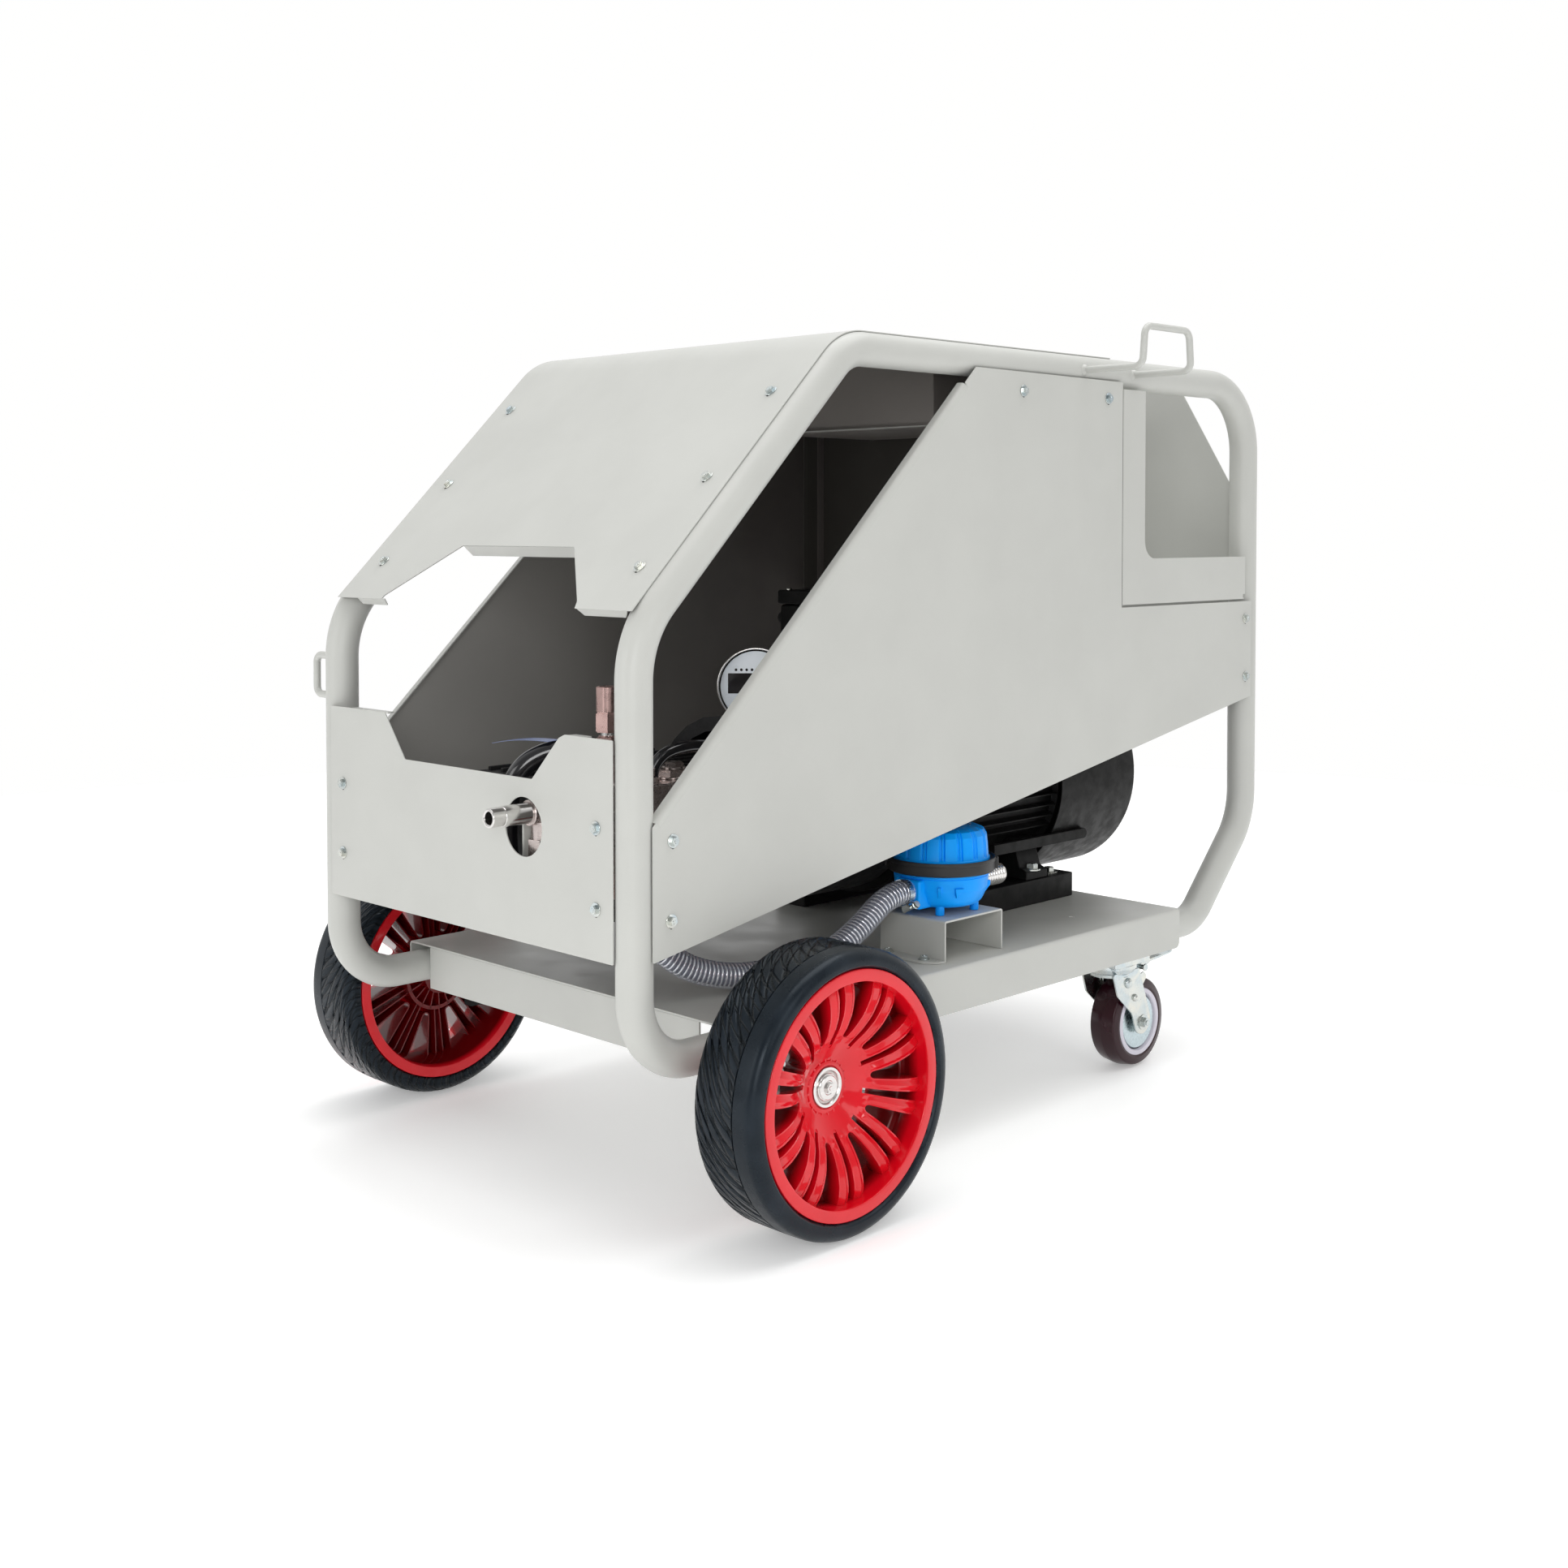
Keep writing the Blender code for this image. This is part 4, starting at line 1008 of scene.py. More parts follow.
def make_rims():
    barrel = [(0.143, 0.46, 0), (0.143, 0.4925, 0), (0.144, 0.497, 0.0016), (0.1598, 0.497, 0.0016),
              (0.16, 0.49, 0), (0.156, 0.48, 0.004), (0.15, 0.46, 0), (0.15, 0.41, 0),
              (0.156, 0.399, 0.004), (0.16, 0.395, 0), (0.1598, 0.389, 0.0016), (0.144, 0.389, 0.0016),
              (0.1415, 0.396, 0), (0.133, 0.425, 0), (0.1325, 0.454, 0), (0.1345, 0.4556, 0.001),
              (0.142, 0.456, 0)]
    hub = [(0.012, 0.41, 0), (0.03, 0.41, 0), (0.03, 0.438, 0), (0.0345, 0.444, 0.001),
           (0.0335, 0.4475, 0.0008), (0.028, 0.4485, 0.0008), (0.0272, 0.446, 0), (0.012, 0.44, 0)]
    wall = ((0.0525, 0.42), (0.0582, 0.42), (0.0582, 0.4575), (0.0525, 0.454))
    for side, sign in SIDES:
        body, place = f"wheel_{side}", (0, WHEEL_Y, WHEEL_R)
        piece(f"wheel_barrel_{side}", turned_arc(rounded(barrel, 4), 128, sign), RED, body, place,
              (f"rim_{side}",), crease=40)
        piece(f"wheel_hub_{side}", turned_arc(rounded(hub, 3), 64, sign), RED, body, place, crease=40)
        make_spokes(side, sign)
        ribs = [turned_arc(wall, 96, sign)]
        for step in range(20):
            x = both(sign, 0.42, 0.4475)
            rib = block((x[0], 0.0285, -0.0011), (x[1], 0.057, 0.0011))
            ribs.append(moved(rib, angle=math.radians(4 + 18 * step), axis="X"))
        piece(f"wheel_back_{side}", merged(*ribs), RED, body, place, crease=40)
        outer = ((0.0208, 0.443), (0.0262, 0.443), (0.0262, 0.449), (0.0256, 0.4496), (0.0222, 0.4496),
                 (0.0216, 0.449), (0.0208, 0.4478))
        inner = ((0.011, 0.44), (0.018, 0.443), (0.018, 0.449), (0.0172, 0.4497), (0.0125, 0.4497),
                 (0.011, 0.449))
        shield = ((0.0175, 0.444), (0.0212, 0.444), (0.0212, 0.4472), (0.0175, 0.4472))
        piece(f"wheel_bearing_race_{side}", turned_arc(outer, 64, sign), STAINLESS, body, place,
              (f"wheel_bearing_{side}",), crease=30)
        piece(f"wheel_bearing_inner_{side}", turned_arc(inner, 64, sign), STAINLESS, body, place,
              crease=30)
        piece(f"wheel_bearing_shield_{side}", turned_arc(shield, 64, sign), NICKEL, body, place)
        washer = turned(((0, 0), (0.0155, 0), (0.016, 0.0006), (0.016, 0.0018), (0.015, 0.0024),
                         (0.0095, 0.0024), (0.0085, 0.0016), (0, 0.0016)), steps=40)
        head = moved(hex_head(0.0072, 0.0046), (0, 0, 0.0012), 0.4)
        dimple = turned(((0, 0.0057), (0.003, 0.0057), (0.0026, 0.0064), (0, 0.0064)), steps=20)
        bolt = stand(merged(washer, head, dimple), (sign * 0.449, WHEEL_Y, WHEEL_R), (sign, 0, 0))
        piece(f"axle_bolt_{side}", bolt, STAINLESS, crease=30)


# ------------------------------------------------------------------ casters


def make_caster(side):
    swivel = joint_place(f"caster_{side}_swivel")
    axle = joint_place(f"caster_{side}_roll")
    body, wheel, brake = f"caster_{side}", f"caster_wheel_{side}", f"brake_{side}"
    leg_sides, leg_face = (("a", 1), ("b", -1)), 0.0333
    radius = span(f"caster_wheel_{side}")[1].z / 2
    half = (span(f"caster_wheel_{side}")[1].x - span(f"caster_wheel_{side}")[0].x) / 2
    tread = [(0.056, -half + 0.001, 0), (0.06, -half, 0.003), (0.0725, -half + 0.003, 0.004),
             (radius - 0.0006, -0.0045, 0.0008), (radius - 0.0001, 0, 0.0008),
             (radius - 0.0006, 0.0045, 0.0008), (0.0725, half - 0.003, 0.004), (0.06, half, 0.003),
             (0.056, half - 0.001, 0)]
    piece(f"caster_tread_{side}", turned(rounded(tread, 5, closed=False), "X", 96), TREAD, wheel, axle,
          (f"caster_wheel_{side}",), crease=25)
    ring_face = [(0.047, -half + 0.003, 0), (0.0485, -half - 0.0002, 0.001),
                 (0.0555, -half - 0.0004, 0.001), (0.0567, -half + 0.002, 0), (0.0567, half - 0.002, 0),
                 (0.0555, half + 0.0004, 0.001), (0.0485, half + 0.0002, 0.001), (0.047, half - 0.003, 0)]
    piece(f"caster_hub_{side}", turned(rounded(ring_face, 3), "X", 80), HUB_WHITE, wheel, axle)
    # A near-black ring in the gap between hub and dust cap: painted shade.
    piece(f"caster_gap_shade_{side}", turned(((0.036, -half + 0.006), (0.0475, -half + 0.006),
                                        (0.0475, half - 0.006), (0.036, half - 0.006)), "X", 64),
          SHADE_BLACK, wheel, axle)
    disc = ((0.008, -half + 0.003), (0.044, -half + 0.003), (0.0455, -half + 0.005),
            (0.0455, half - 0.005), (0.044, half - 0.003), (0.008, half - 0.003))
    piece(f"caster_dust_cap_{side}", turned(disc, "X", 64), DUST_CAP, wheel, axle)

    # The fork: two pressed legs, the crown between them and the swivel's raceways.
    plate_low = span(f"caster_plate_{side}")[0].z
    leg = [(-0.036, 0.17, 0.004), (0.04, 0.17, 0.004), (0.047, 0.15, 0.01), (0.06, 0.118, 0.014),
           (0.074, axle.z + 0.004, 0.018), (0.06, axle.z - 0.022, 0.019), (0.032, axle.z - 0.016, 0.017),
           (0.02, 0.095, 0.02), (-0.022, 0.13, 0.016)]
    shape = [(swivel.y + y, z) for y, z in rounded(leg, 7)]
    for mark, way in leg_sides:
        x = [swivel.x + level for level in both(way, 0.03, 0.0332)]
        piece(f"caster_leg_{mark}_{side}", prism(shape, "X", *x), ZINC, body, bevel=0.0009,
              stands_for=(f"caster_fork_{side}",) if mark == "a" else ())
    crown = [(0, 0.16, 0), (0.034, 0.16, 0.002), (0.0345, 0.166, 0.002), (0.04, 0.168, 0.003),
             (0.046, 0.176, 0.003), (0.046, 0.182, 0.002), (0.042, 0.1865, 0.002), (0.03, 0.189, 0.001),
             (0, 0.189, 0)]
    piece(f"caster_crown_{side}", turned(rounded(crown, 3, closed=False), "Z", 64, closed=False), ZINC,
          body, (swivel.x, swivel.y, 0))
    axle_parts = []
    for way in (1, -1):
        nut = merged(turned(((0, 0), (0.0125, 0), (0.0128, 0.0012), (0, 0.0018)), steps=32),
                     moved(hex_head(0.0092, 0.007), (0, 0, 0.001), 0.2),
                     turned(((0, 0.0078), (0.0045, 0.0078), (0.004, 0.0096), (0, 0.0096)), steps=20))
        axle_parts.append(stand(nut, (way * leg_face, 0, 0), (way, 0, 0)))
    axle_parts.append(rod(0.006, -0.0299, 0.0299, "X", 24))
    piece(f"caster_axle_{side}", merged(*axle_parts), ZINC, body, axle, crease=30)
    rivets = []
    for y, z, size in ((0.006, 0.15, 0.0085), (0.026, 0.122, 0.006)):
        for way in (1, -1):
            dome = turned(((0, 0), (size, 0), (size, 0.0012), (size * 0.82, 0.0036), (size * 0.45, 0.005),
                           (0, 0.0053)), steps=28)
            rivets.append(stand(dome, (way * leg_face, y, z), (way, 0, 0)))
    piece(f"caster_rivets_{side}", merged(*rivets), ZINC, body, (swivel.x, swivel.y, 0), crease=50)
    link = [(0.018, 0.146, 0.006), (0.06, 0.16, 0.006), (0.07, 0.15, 0.006), (0.052, 0.132, 0.006),
            (0.026, 0.13, 0.006)]
    for mark, way in leg_sides:
        x = both(way, 0.0262, 0.0282)
        piece(f"caster_link_{mark}_{side}", prism(rounded(link, 5), "X", *x), ZINC, body,
              (swivel.x, swivel.y, 0), bevel=0.0006)

    # The pedal that locks wheel and swivel, hinged at the back of the fork.
    hinge = joint_place(f"brake_{side}_press")
    bottom, top = span(f"brake_pedal_{side}")
    reach, lift = top.y - hinge.y, top.z - hinge.z
    section = [(-0.01, -0.006, 0.003), (0.01, -0.006, 0.003), (0.03, 0.003, 0.006),
               (reach - 0.016, lift - 0.0075, 0.01), (reach - 0.002, lift - 0.0055, 0.004),
               (reach, lift, 0), (reach - 0.003, lift - 0.0004, 0), (reach - 0.017, lift - 0.0045, 0.006),
               (0.028, 0.0075, 0.006), (-0.01, 0.004, 0.003)]
    pedal = piece(f"brake_lever_{side}", prism(rounded(section, 4), "X", -0.0235, 0.0235), ZINC, brake,
                  hinge, (f"brake_pedal_{side}",), bevel=0.0006)
    for way in (1, -1):
        radius, start = 0.011, 0.0126  # of the pedal's corners, and where they begin
        outline = [(way * 0.03, reach - radius), (way * (start + radius), reach - radius)]
        outline += [(way * (start + radius * math.cos(turn)),
                     reach - radius + (radius + 0.0002) * math.sin(turn)) for turn in QUARTER]
        outline += [(way * start, reach + 0.0002), (way * start, reach + 0.01),
                    (way * 0.03, reach + 0.01)]
        cut(pedal, prism(outline, "Z", -0.05, 0.05))
    grips = [moved(block((-0.017, -0.0011, 0), (0.017, 0.0011, 0.0016)),
                   (0, 0.046 + 0.009 * i, 0.0112 + 0.0006 * i)) for i in range(4)]
    piece(f"brake_grips_{side}", merged(*grips), ZINC, brake, hinge, bevel=0.0004)
    pin = merged(rod(0.004, -0.0352, 0.0352, "X", 24), rod(0.0062, 0.0333, 0.0356, "X", 24, 0.0006),
                 rod(0.0062, -0.0356, -0.0333, "X", 24, 0.0006))
    piece(f"brake_pin_{side}", pin, ZINC, brake, hinge)


def make_caster_plates():
    for side, sign in SIDES:
        low, high = span(f"caster_plate_{side}")
        outline = [(low.x, low.y, 0.008), (high.x, low.y, 0.008), (high.x, high.y, 0.008),
                   (low.x, high.y, 0.008)]
        piece(f"caster_top_plate_{side}", prism(rounded(outline, 5), "Z", low.z, high.z), ZINC,
              stands_for=(f"caster_plate_{side}",), bevel=0.0007)
        middle = (low + high) / 2
        bolts = []
        for dx in (-1, 1):
            for dy in (-1, 1):
                spot = Vector((middle.x + dx * (high.x - middle.x - 0.013),
                               middle.y + dy * (high.y - middle.y - 0.013), low.z))
                bolts.append(stand(bolt_shape(0.0072), spot, (0, 0, -1)))
        piece(f"caster_plate_bolts_{side}", merged(*bolts), ZINC, crease=30)


def make_running_gear():
    make_tyres()
    make_rims()
    make_caster_plates()
    for side, _ in SIDES:
        make_caster(side)
    bar = rod(0.0104, -0.44, 0.44, "X", 32)
    piece("axle_bar", bar, ZINC, place=(0, WHEEL_Y, WHEEL_R), stands_for=("axle",))
    recoat(ENAMEL, "axle_bracket_right", "axle_bracket_left", "caster_crossmember")


# ------------------------------------------------------------------ motor and pump


def make_motor():
    """A finned motor on cast feet, with its mounting rails and their bolts."""
    low, high = span("motor_body")
    axis, radius = (0, 0, AXIS_Z), high.x
    core, front, rear = radius - 0.014, low.y, high.y
    shell = [(0.034, front, 0), (core - 0.03, front, 0.004), (core - 0.018, front + 0.006, 0.004),
             (radius - 0.002, front + 0.008, 0.003), (radius - 0.002, front + 0.03, 0.003),
             (core, front + 0.034, 0.002), (core, rear - 0.028, 0.002),
             (radius - 0.004, rear - 0.024, 0.002), (radius - 0.004, rear, 0.003), (0.034, rear, 0)]
    piece("motor_shell", turned(rounded(shell, 4), "Y", 96), ENAMEL, place=axis,
          stands_for=("motor_body",), crease=40)
    fins = []
    for number in range(52):
        angle = math.tau * number / 52
        if abs(math.sin(angle)) > 0.93 or 0.55 < -math.sin(angle) < 0.85:
            continue
        fin = block((core - 0.003, front + 0.036, -0.0014), (radius - 0.0006, rear - 0.03, 0.0014))
        fins.append(moved(fin, angle=-angle, axis="Y"))
    piece("motor_fins", merged(*fins), ENAMEL, place=axis, bevel=0.0009)
    foot_top, rail_top = 0.345, span("motor_rail_right")[1].z + GAP
    for side, sign in SIDES:
        outline = [(0.098, rail_top, 0.002), (0.162, rail_top, 0.002), (0.162, rail_top + 0.014, 0.004),
                   (0.148, rail_top + 0.02, 0.008), (0.132, foot_top + 0.03, 0.01),
                   (0.1, foot_top + 0.028, 0), (0.088, rail_top + 0.04, 0.01)]
        shape = [(sign * x, z) for x, z in rounded(outline, 5)]
        for mark, start in (("front", 0.792), ("rear", 1.02)):
            piece(f"motor_foot_{mark}_{side}", prism(shape, "Y", start, start + 0.058), ENAMEL,
                  bevel=0.002, steps=3)
        bolts = []
        for y in (0.82, 1.048):
            pad = rod(0.0165, 0, 0.003, "Z", 32, 0.0006)
            head = moved(hex_head(0.0115, 0.0085), (0, 0, 0.003), 0.5)
            bolts.append(moved(merged(pad, head), (sign * 0.15, y, rail_top + 0.0141)))
        piece(f"motor_foot_bolts_{side}", merged(*bolts), ZINC, crease=30)
        low_rail, high_rail = span(f"motor_rail_{side}")
        piece(f"motor_mount_{side}", block(low_rail, high_rail), ENAMEL,
              stands_for=(f"motor_rail_{side}",), bevel=0.0022, steps=3)
        end_bolt = merged(rod(0.015, 0, 0.0024, "Z", 32, 0.0005),
                          moved(hex_head(0.0095, 0.0075), (0, 0, 0.0024), 0.2))
        piece(f"mount_bolt_{side}", moved(end_bolt, (sign * 0.14, 1.112, high_rail.z)), ZINC, crease=30)


def make_cowl():
    low, high = span("fan_cowl")
    outer, rear, wall = high.x, high.y, SHEET
    section = [(outer - wall, low.y, 0), (outer, low.y, 0), (outer, rear - 0.0205, 0.012),
               (outer - 0.0205, rear, 0.012), (0.09, rear, 0), (0.09, rear - wall, 0),
               (outer - 0.021, rear - wall, 0.011), (outer - wall, rear - 0.0215, 0.011)]
    axis = (0, 0, AXIS_Z)
    piece("cowl_shell", turned(rounded(section, 6), "Y", 112), ENAMEL, place=axis,
          stands_for=("fan_cowl",), crease=40)
    loops = []
    for radius in (0.012, 0.027, 0.042, 0.057, 0.072, 0.087):
        loops.append(ring(radius - 0.0013, radius + 0.0013, rear - 0.0052, rear - 0.0026, "Y"))
    for turn in range(4):
        bar = block((-0.0925, rear - 0.003, -0.0014), (0.0925, rear - 0.0004, 0.0014))
        loops.append(moved(bar, angle=math.pi * turn / 4, axis="Y"))
    piece("cowl_grille", merged(*loops), ENAMEL, place=axis, crease=50)
    for side, sign in SIDES:
        bar = [(0.93, 0.36, 0), (1.186, 0.36, 0.0085), (1.195, 0.369, 0.0085), (1.186, 0.378, 0.0085),
               (0.93, 0.378, 0)]
        x = both(sign, 0.1535, 0.164)
        piece(f"cowl_stay_{side}", prism(rounded(bar, 6), "X", *x), ENAMEL, bevel=0.001)
    screws = []
    for angle in (35, 145, 215, 325, 270):
        turn = math.radians(angle)
        out = Vector((math.cos(turn), 0, math.sin(turn)))
        head = merged(rod(0.0068, 0, 0.001, "Z", 24),
                      turned(((0, 0), (0.005, 0), (0.0048, 0.0024), (0.003, 0.0036), (0, 0.0038)),
                             steps=24))
        screws.append(stand(head, out * outer + Vector((0, low.y + 0.012, 0)), out))
    piece("cowl_screws", merged(*screws), ZINC, place=axis, crease=35)


def make_terminal_box():
    low, high = span("terminal_box")
    seam = 0.78
    lip = 0.003
    piece("connection_box", block((low.x + lip, low.y + lip, low.z),
                                  (high.x - lip, high.y - lip, seam - 0.0008)), ENAMEL,
          stands_for=("terminal_box",), bevel=0.006, steps=4)
    piece("connection_box_lid", block((low.x, low.y, seam), high), ENAMEL, bevel=0.004, steps=4)
    screws = []
    for dx in (-1, 1):
        for y in (low.y + 0.014, high.y - 0.014):
            head = turned(((0, 0), (0.0052, 0), (0.0052, 0.0016), (0.004, 0.003), (0.0012, 0.0032),
                           (0.001, 0.0018), (0, 0.0018)), steps=24)
            screws.append(moved(head, (dx * (high.x - 0.014), y, high.z)))
    piece("connection_box_screws", merged(*screws), ZINC, crease=35)
    place = (span("cable_gland")[1].x + GAP, 0.712, 0.755)
    nut = moved(hex_head(0.016, 0.01), (0, 0, 0.0004))
    cone = turned(((0.006, 0.01), (0.012, 0.01), (0.0128, 0.013), (0.012, 0.02), (0.01, 0.027),
                   (0.0075, 0.03), (0.006, 0.03)), steps=32)
    hex_part = merged(nut, cone)
    piece("cable_entry", stand(hex_part, place, (-1, 0, 0)), RUBBER, stands_for=("cable_gland",),
          crease=35)


def fitting_stack(levels):
    """Hexes and collars on one axis: (kind, radius, height) from z = 0 up."""
    parts, base = [], 0.0
    for kind, radius, height in levels:
        if kind == "hex":
            parts.append(moved(hex_head(radius, height), (0, 0, base), base * 31))
        else:
            parts.append(moved(rod(radius, 0, height, "Z", 40, min(0.0008, height / 4)), (0, 0, base)))
        base += height + 0.00005
    return merged(*parts)


def make_pump():
    low, high = span("pump_crankcase")
    high.z -= 0.02
    piece("pump_case", block(low, high), CAST, stands_for=("pump_crankcase",), bevel=0.012, steps=5)
    ribs = [block((low.x + 0.022 + 0.03 * i, low.y + 0.02, high.z - 0.001),
                  (low.x + 0.027 + 0.03 * i, high.y - 0.02, high.z + 0.006)) for i in range(7)]
    piece("pump_ribs", merged(*ribs), CAST, bevel=0.0015)
    cover = [(low.x + 0.02, low.z + 0.025, 0.02), (high.x - 0.02, low.z + 0.025, 0.02),
             (high.x - 0.02, high.z - 0.02, 0.02), (low.x + 0.02, high.z - 0.02, 0.02)]
    piece("pump_cover", prism(rounded(cover, 6), "Y", low.y - 0.006, low.y + 0.001), CAST, bevel=0.0015)
    bolts = []
    for x in (low.x + 0.032, high.x - 0.032):
        for z in (low.z + 0.037, (low.z + high.z) / 2, high.z - 0.032):
            bolts.append(stand(bolt_shape(0.0065), (x, low.y - 0.006, z), (0, -1, 0)))
    piece("pump_cover_bolts", merged(*bolts), ZINC, crease=30)
    piece("pump_oil_cap", moved(fitting_stack((("round", 0.016, 0.006), ("hex", 0.015, 0.012),
                                               ("round", 0.008, 0.003))), (-0.06, 0.19, high.z + 0.0005)),
          RUBBER, crease=30)

    low, high = span("pump_head")
    top, near = 0.56, 0.205
    piece("pump_head_block", block(low, (near, high.y, top)), NICKEL, stands_for=("pump_head",),
          bevel=0.003, steps=3)
    plugs = []
    for y in (0.215, 0.295, 0.375):
        stack = (("round", 0.0235, 0.0035), ("hex", 0.0215, 0.0085), ("round", 0.0165, 0.0045),
                 ("hex", 0.015, 0.006))
        plugs.append(moved(fitting_stack(stack), (0.165, y, top)))
        side_plug = (("round", 0.0255, 0.003), ("hex", 0.0235, 0.01), ("round", 0.012, 0.003))
        plugs.append(stand(fitting_stack(side_plug), (near, y, 0.47), (1, 0, 0)))
    for y in (0.135, 0.255, 0.335, 0.425):
        for x in (0.105, 0.193):
            plugs.append(moved(fitting_stack((("round", 0.0075, 0.0012), ("hex", 0.0062, 0.005))),
                               (x, y, top)))
    piece("pump_head_plugs", merged(*plugs), NICKEL, crease=30)
    low, high = span("inlet_manifold")
    piece("inlet_rail", block((low.x, low.y, 0.392), high), ROSE_BRASS, stands_for=("inlet_manifold",),
          bevel=0.004, steps=3)
    piece("inlet_stub", moved(fitting_stack((("round", 0.016, 0.0175), ("hex", 0.0205, 0.008))),
                              INLET_PLACE), ROSE_BRASS, crease=30)
    recoat(CAST, "bell_housing", "cooling_fan")
    recoat(STAINLESS, "motor_shaft")


def make_outlet():
    """The high-pressure outlet: a bored nipple through the front panel, on an elbow."""
    low, high = span("outlet_nipple")
    x, z = (low.x + high.x) / 2, (low.z + high.z) / 2
    start, end, bore = low.y, high.y, 0.0085
    nipple = [(bore, start + 0.0012, 0), (bore + 0.0012, start, 0.0006), (0.0122, start, 0.0006),
              (0.0128, start + 0.001, 0.0003), (0.0128, start + 0.02, 0), (0.0134, start + 0.0206, 0),
              (0.0138, start + 0.0222, 0), (0.0138, end, 0), (bore, end, 0), (bore, start + 0.03, 0)]
    piece("outlet_pipe", turned(rounded(nipple, 3), "Y", 64), STAINLESS, place=(x, 0, z),
          stands_for=("outlet_nipple",), crease=30)
    rings = [ring(0.0127, 0.0129, start + 0.002 + 0.0016 * i, start + 0.0027 + 0.0016 * i, "Y", 56)
             for i in range(11)]
    piece("outlet_thread", merged(*rings), STAINLESS, place=(x, 0, z), crease=60)
    # A near-black disc inside the bore: painted shade.
    plug = turned(((0, end - 0.006), (bore + 0.0004, end - 0.006), (bore + 0.0004, end - 0.002),
                   (0, end - 0.002)), "Y", 32)
    piece("outlet_bore_shade", plug, SHADE_BLACK, place=(x, 0, z))
    bend = [(x, end + 0.0003, z, 0), (x, 0.011, z, 0.014), (x, 0.011, z - 0.038, 0)]
    wire("outlet_bend", rounded(bend, 10, closed=False), 0.016, NICKEL, resolution=12,
         stands_for=("outlet_elbow",))
    joint = stand(fitting_stack((("round", 0.0172, 0.006), ("round", 0.016, 0.004))),
                  (x, end + 0.0002, z), (0, 1, 0))
    drop = stand(fitting_stack((("hex", 0.02, 0.026), ("round", 0.0165, 0.008))),
                 (x, 0.011, z - 0.036), (0, 0, -1), 0.35)
    piece("outlet_collar", merged(joint, drop), NICKEL, crease=30)
    piece("outlet_block", block((0.105, -0.012, 0.405), (0.165, 0.1195, 0.459)), NICKEL, bevel=0.003,
          steps=3)
    gusset = ((0.118, 0.524), (0.121, 0.524), (0.121, 0.465), (0.118, 0.459))
    piece("outlet_gusset", prism(gusset, "Y", -0.01, 0.01), POWDER, bevel=0.0006)


def flatted(radius, flat, low, high, steps=48, count=4):
    """A round bar whose sides have flats cut at a distance from its axis."""
    outline = []
    for step in range(steps):
        angle = math.tau * step / steps
        reach = radius
        for face in range(count):
            cosine = math.cos(angle - math.tau * face / count)
            if cosine > 0:
                reach = min(reach, flat / cosine)
        outline.append((reach * math.cos(angle), reach * math.sin(angle)))
    return prism(outline, "Z", low, high)


def make_relief_valve():
    low, high = span("relief_valve_body")
    x, y = 0.108, 0.147
    stack = moved(fitting_stack((("round", 0.0125, 0.0175), ("hex", 0.0188, 0.04),
                                 ("round", 0.0145, 0.0022))), (x, y, low.z))
    piece("valve_base", stack, ROSE_BRASS, stands_for=("relief_valve_body",), crease=30)
    neck = turned(((0, 0.6195), (0.0115, 0.6195), (0.0115, 0.625), (0, 0.625)), steps=40)
    piece("valve_neck", neck, STAINLESS, place=(x, y, 0))
    side = stand(fitting_stack((("hex", 0.014, 0.01), ("round", 0.0125, 0.006))), (x - 0.01, y, 0.6),
                 (-1, 0, 0), 0.3)
    piece("valve_branch", side, ROSE_BRASS, crease=30)
    place = joint_place("relief_knob_turn")
    bottom, top = span("relief_valve_knob")
    base, crown = bottom.z - place.z, top.z - place.z
    hexagon = moved(hex_head(0.019, -0.003 - base), (0, 0, base), 0.3)
    bmesh.ops.bevel(hexagon, geom=[e for e in hexagon.edges
                                   if all(v.co.z < base + 0.0001 for v in e.verts)], offset=0.0016,
                    segments=2, affect="EDGES")
    bar = flatted(0.0166, 0.015, -0.003, crown - 0.001)
    lid = rod(0.015, crown - 0.0012, crown, "Z", 48, 0.0008)
    piece("valve_knob", merged(hexagon, bar, lid), ROSE_BRASS, "relief_knob", place,
          ("relief_valve_knob",), bevel=0.0006, crease=28)


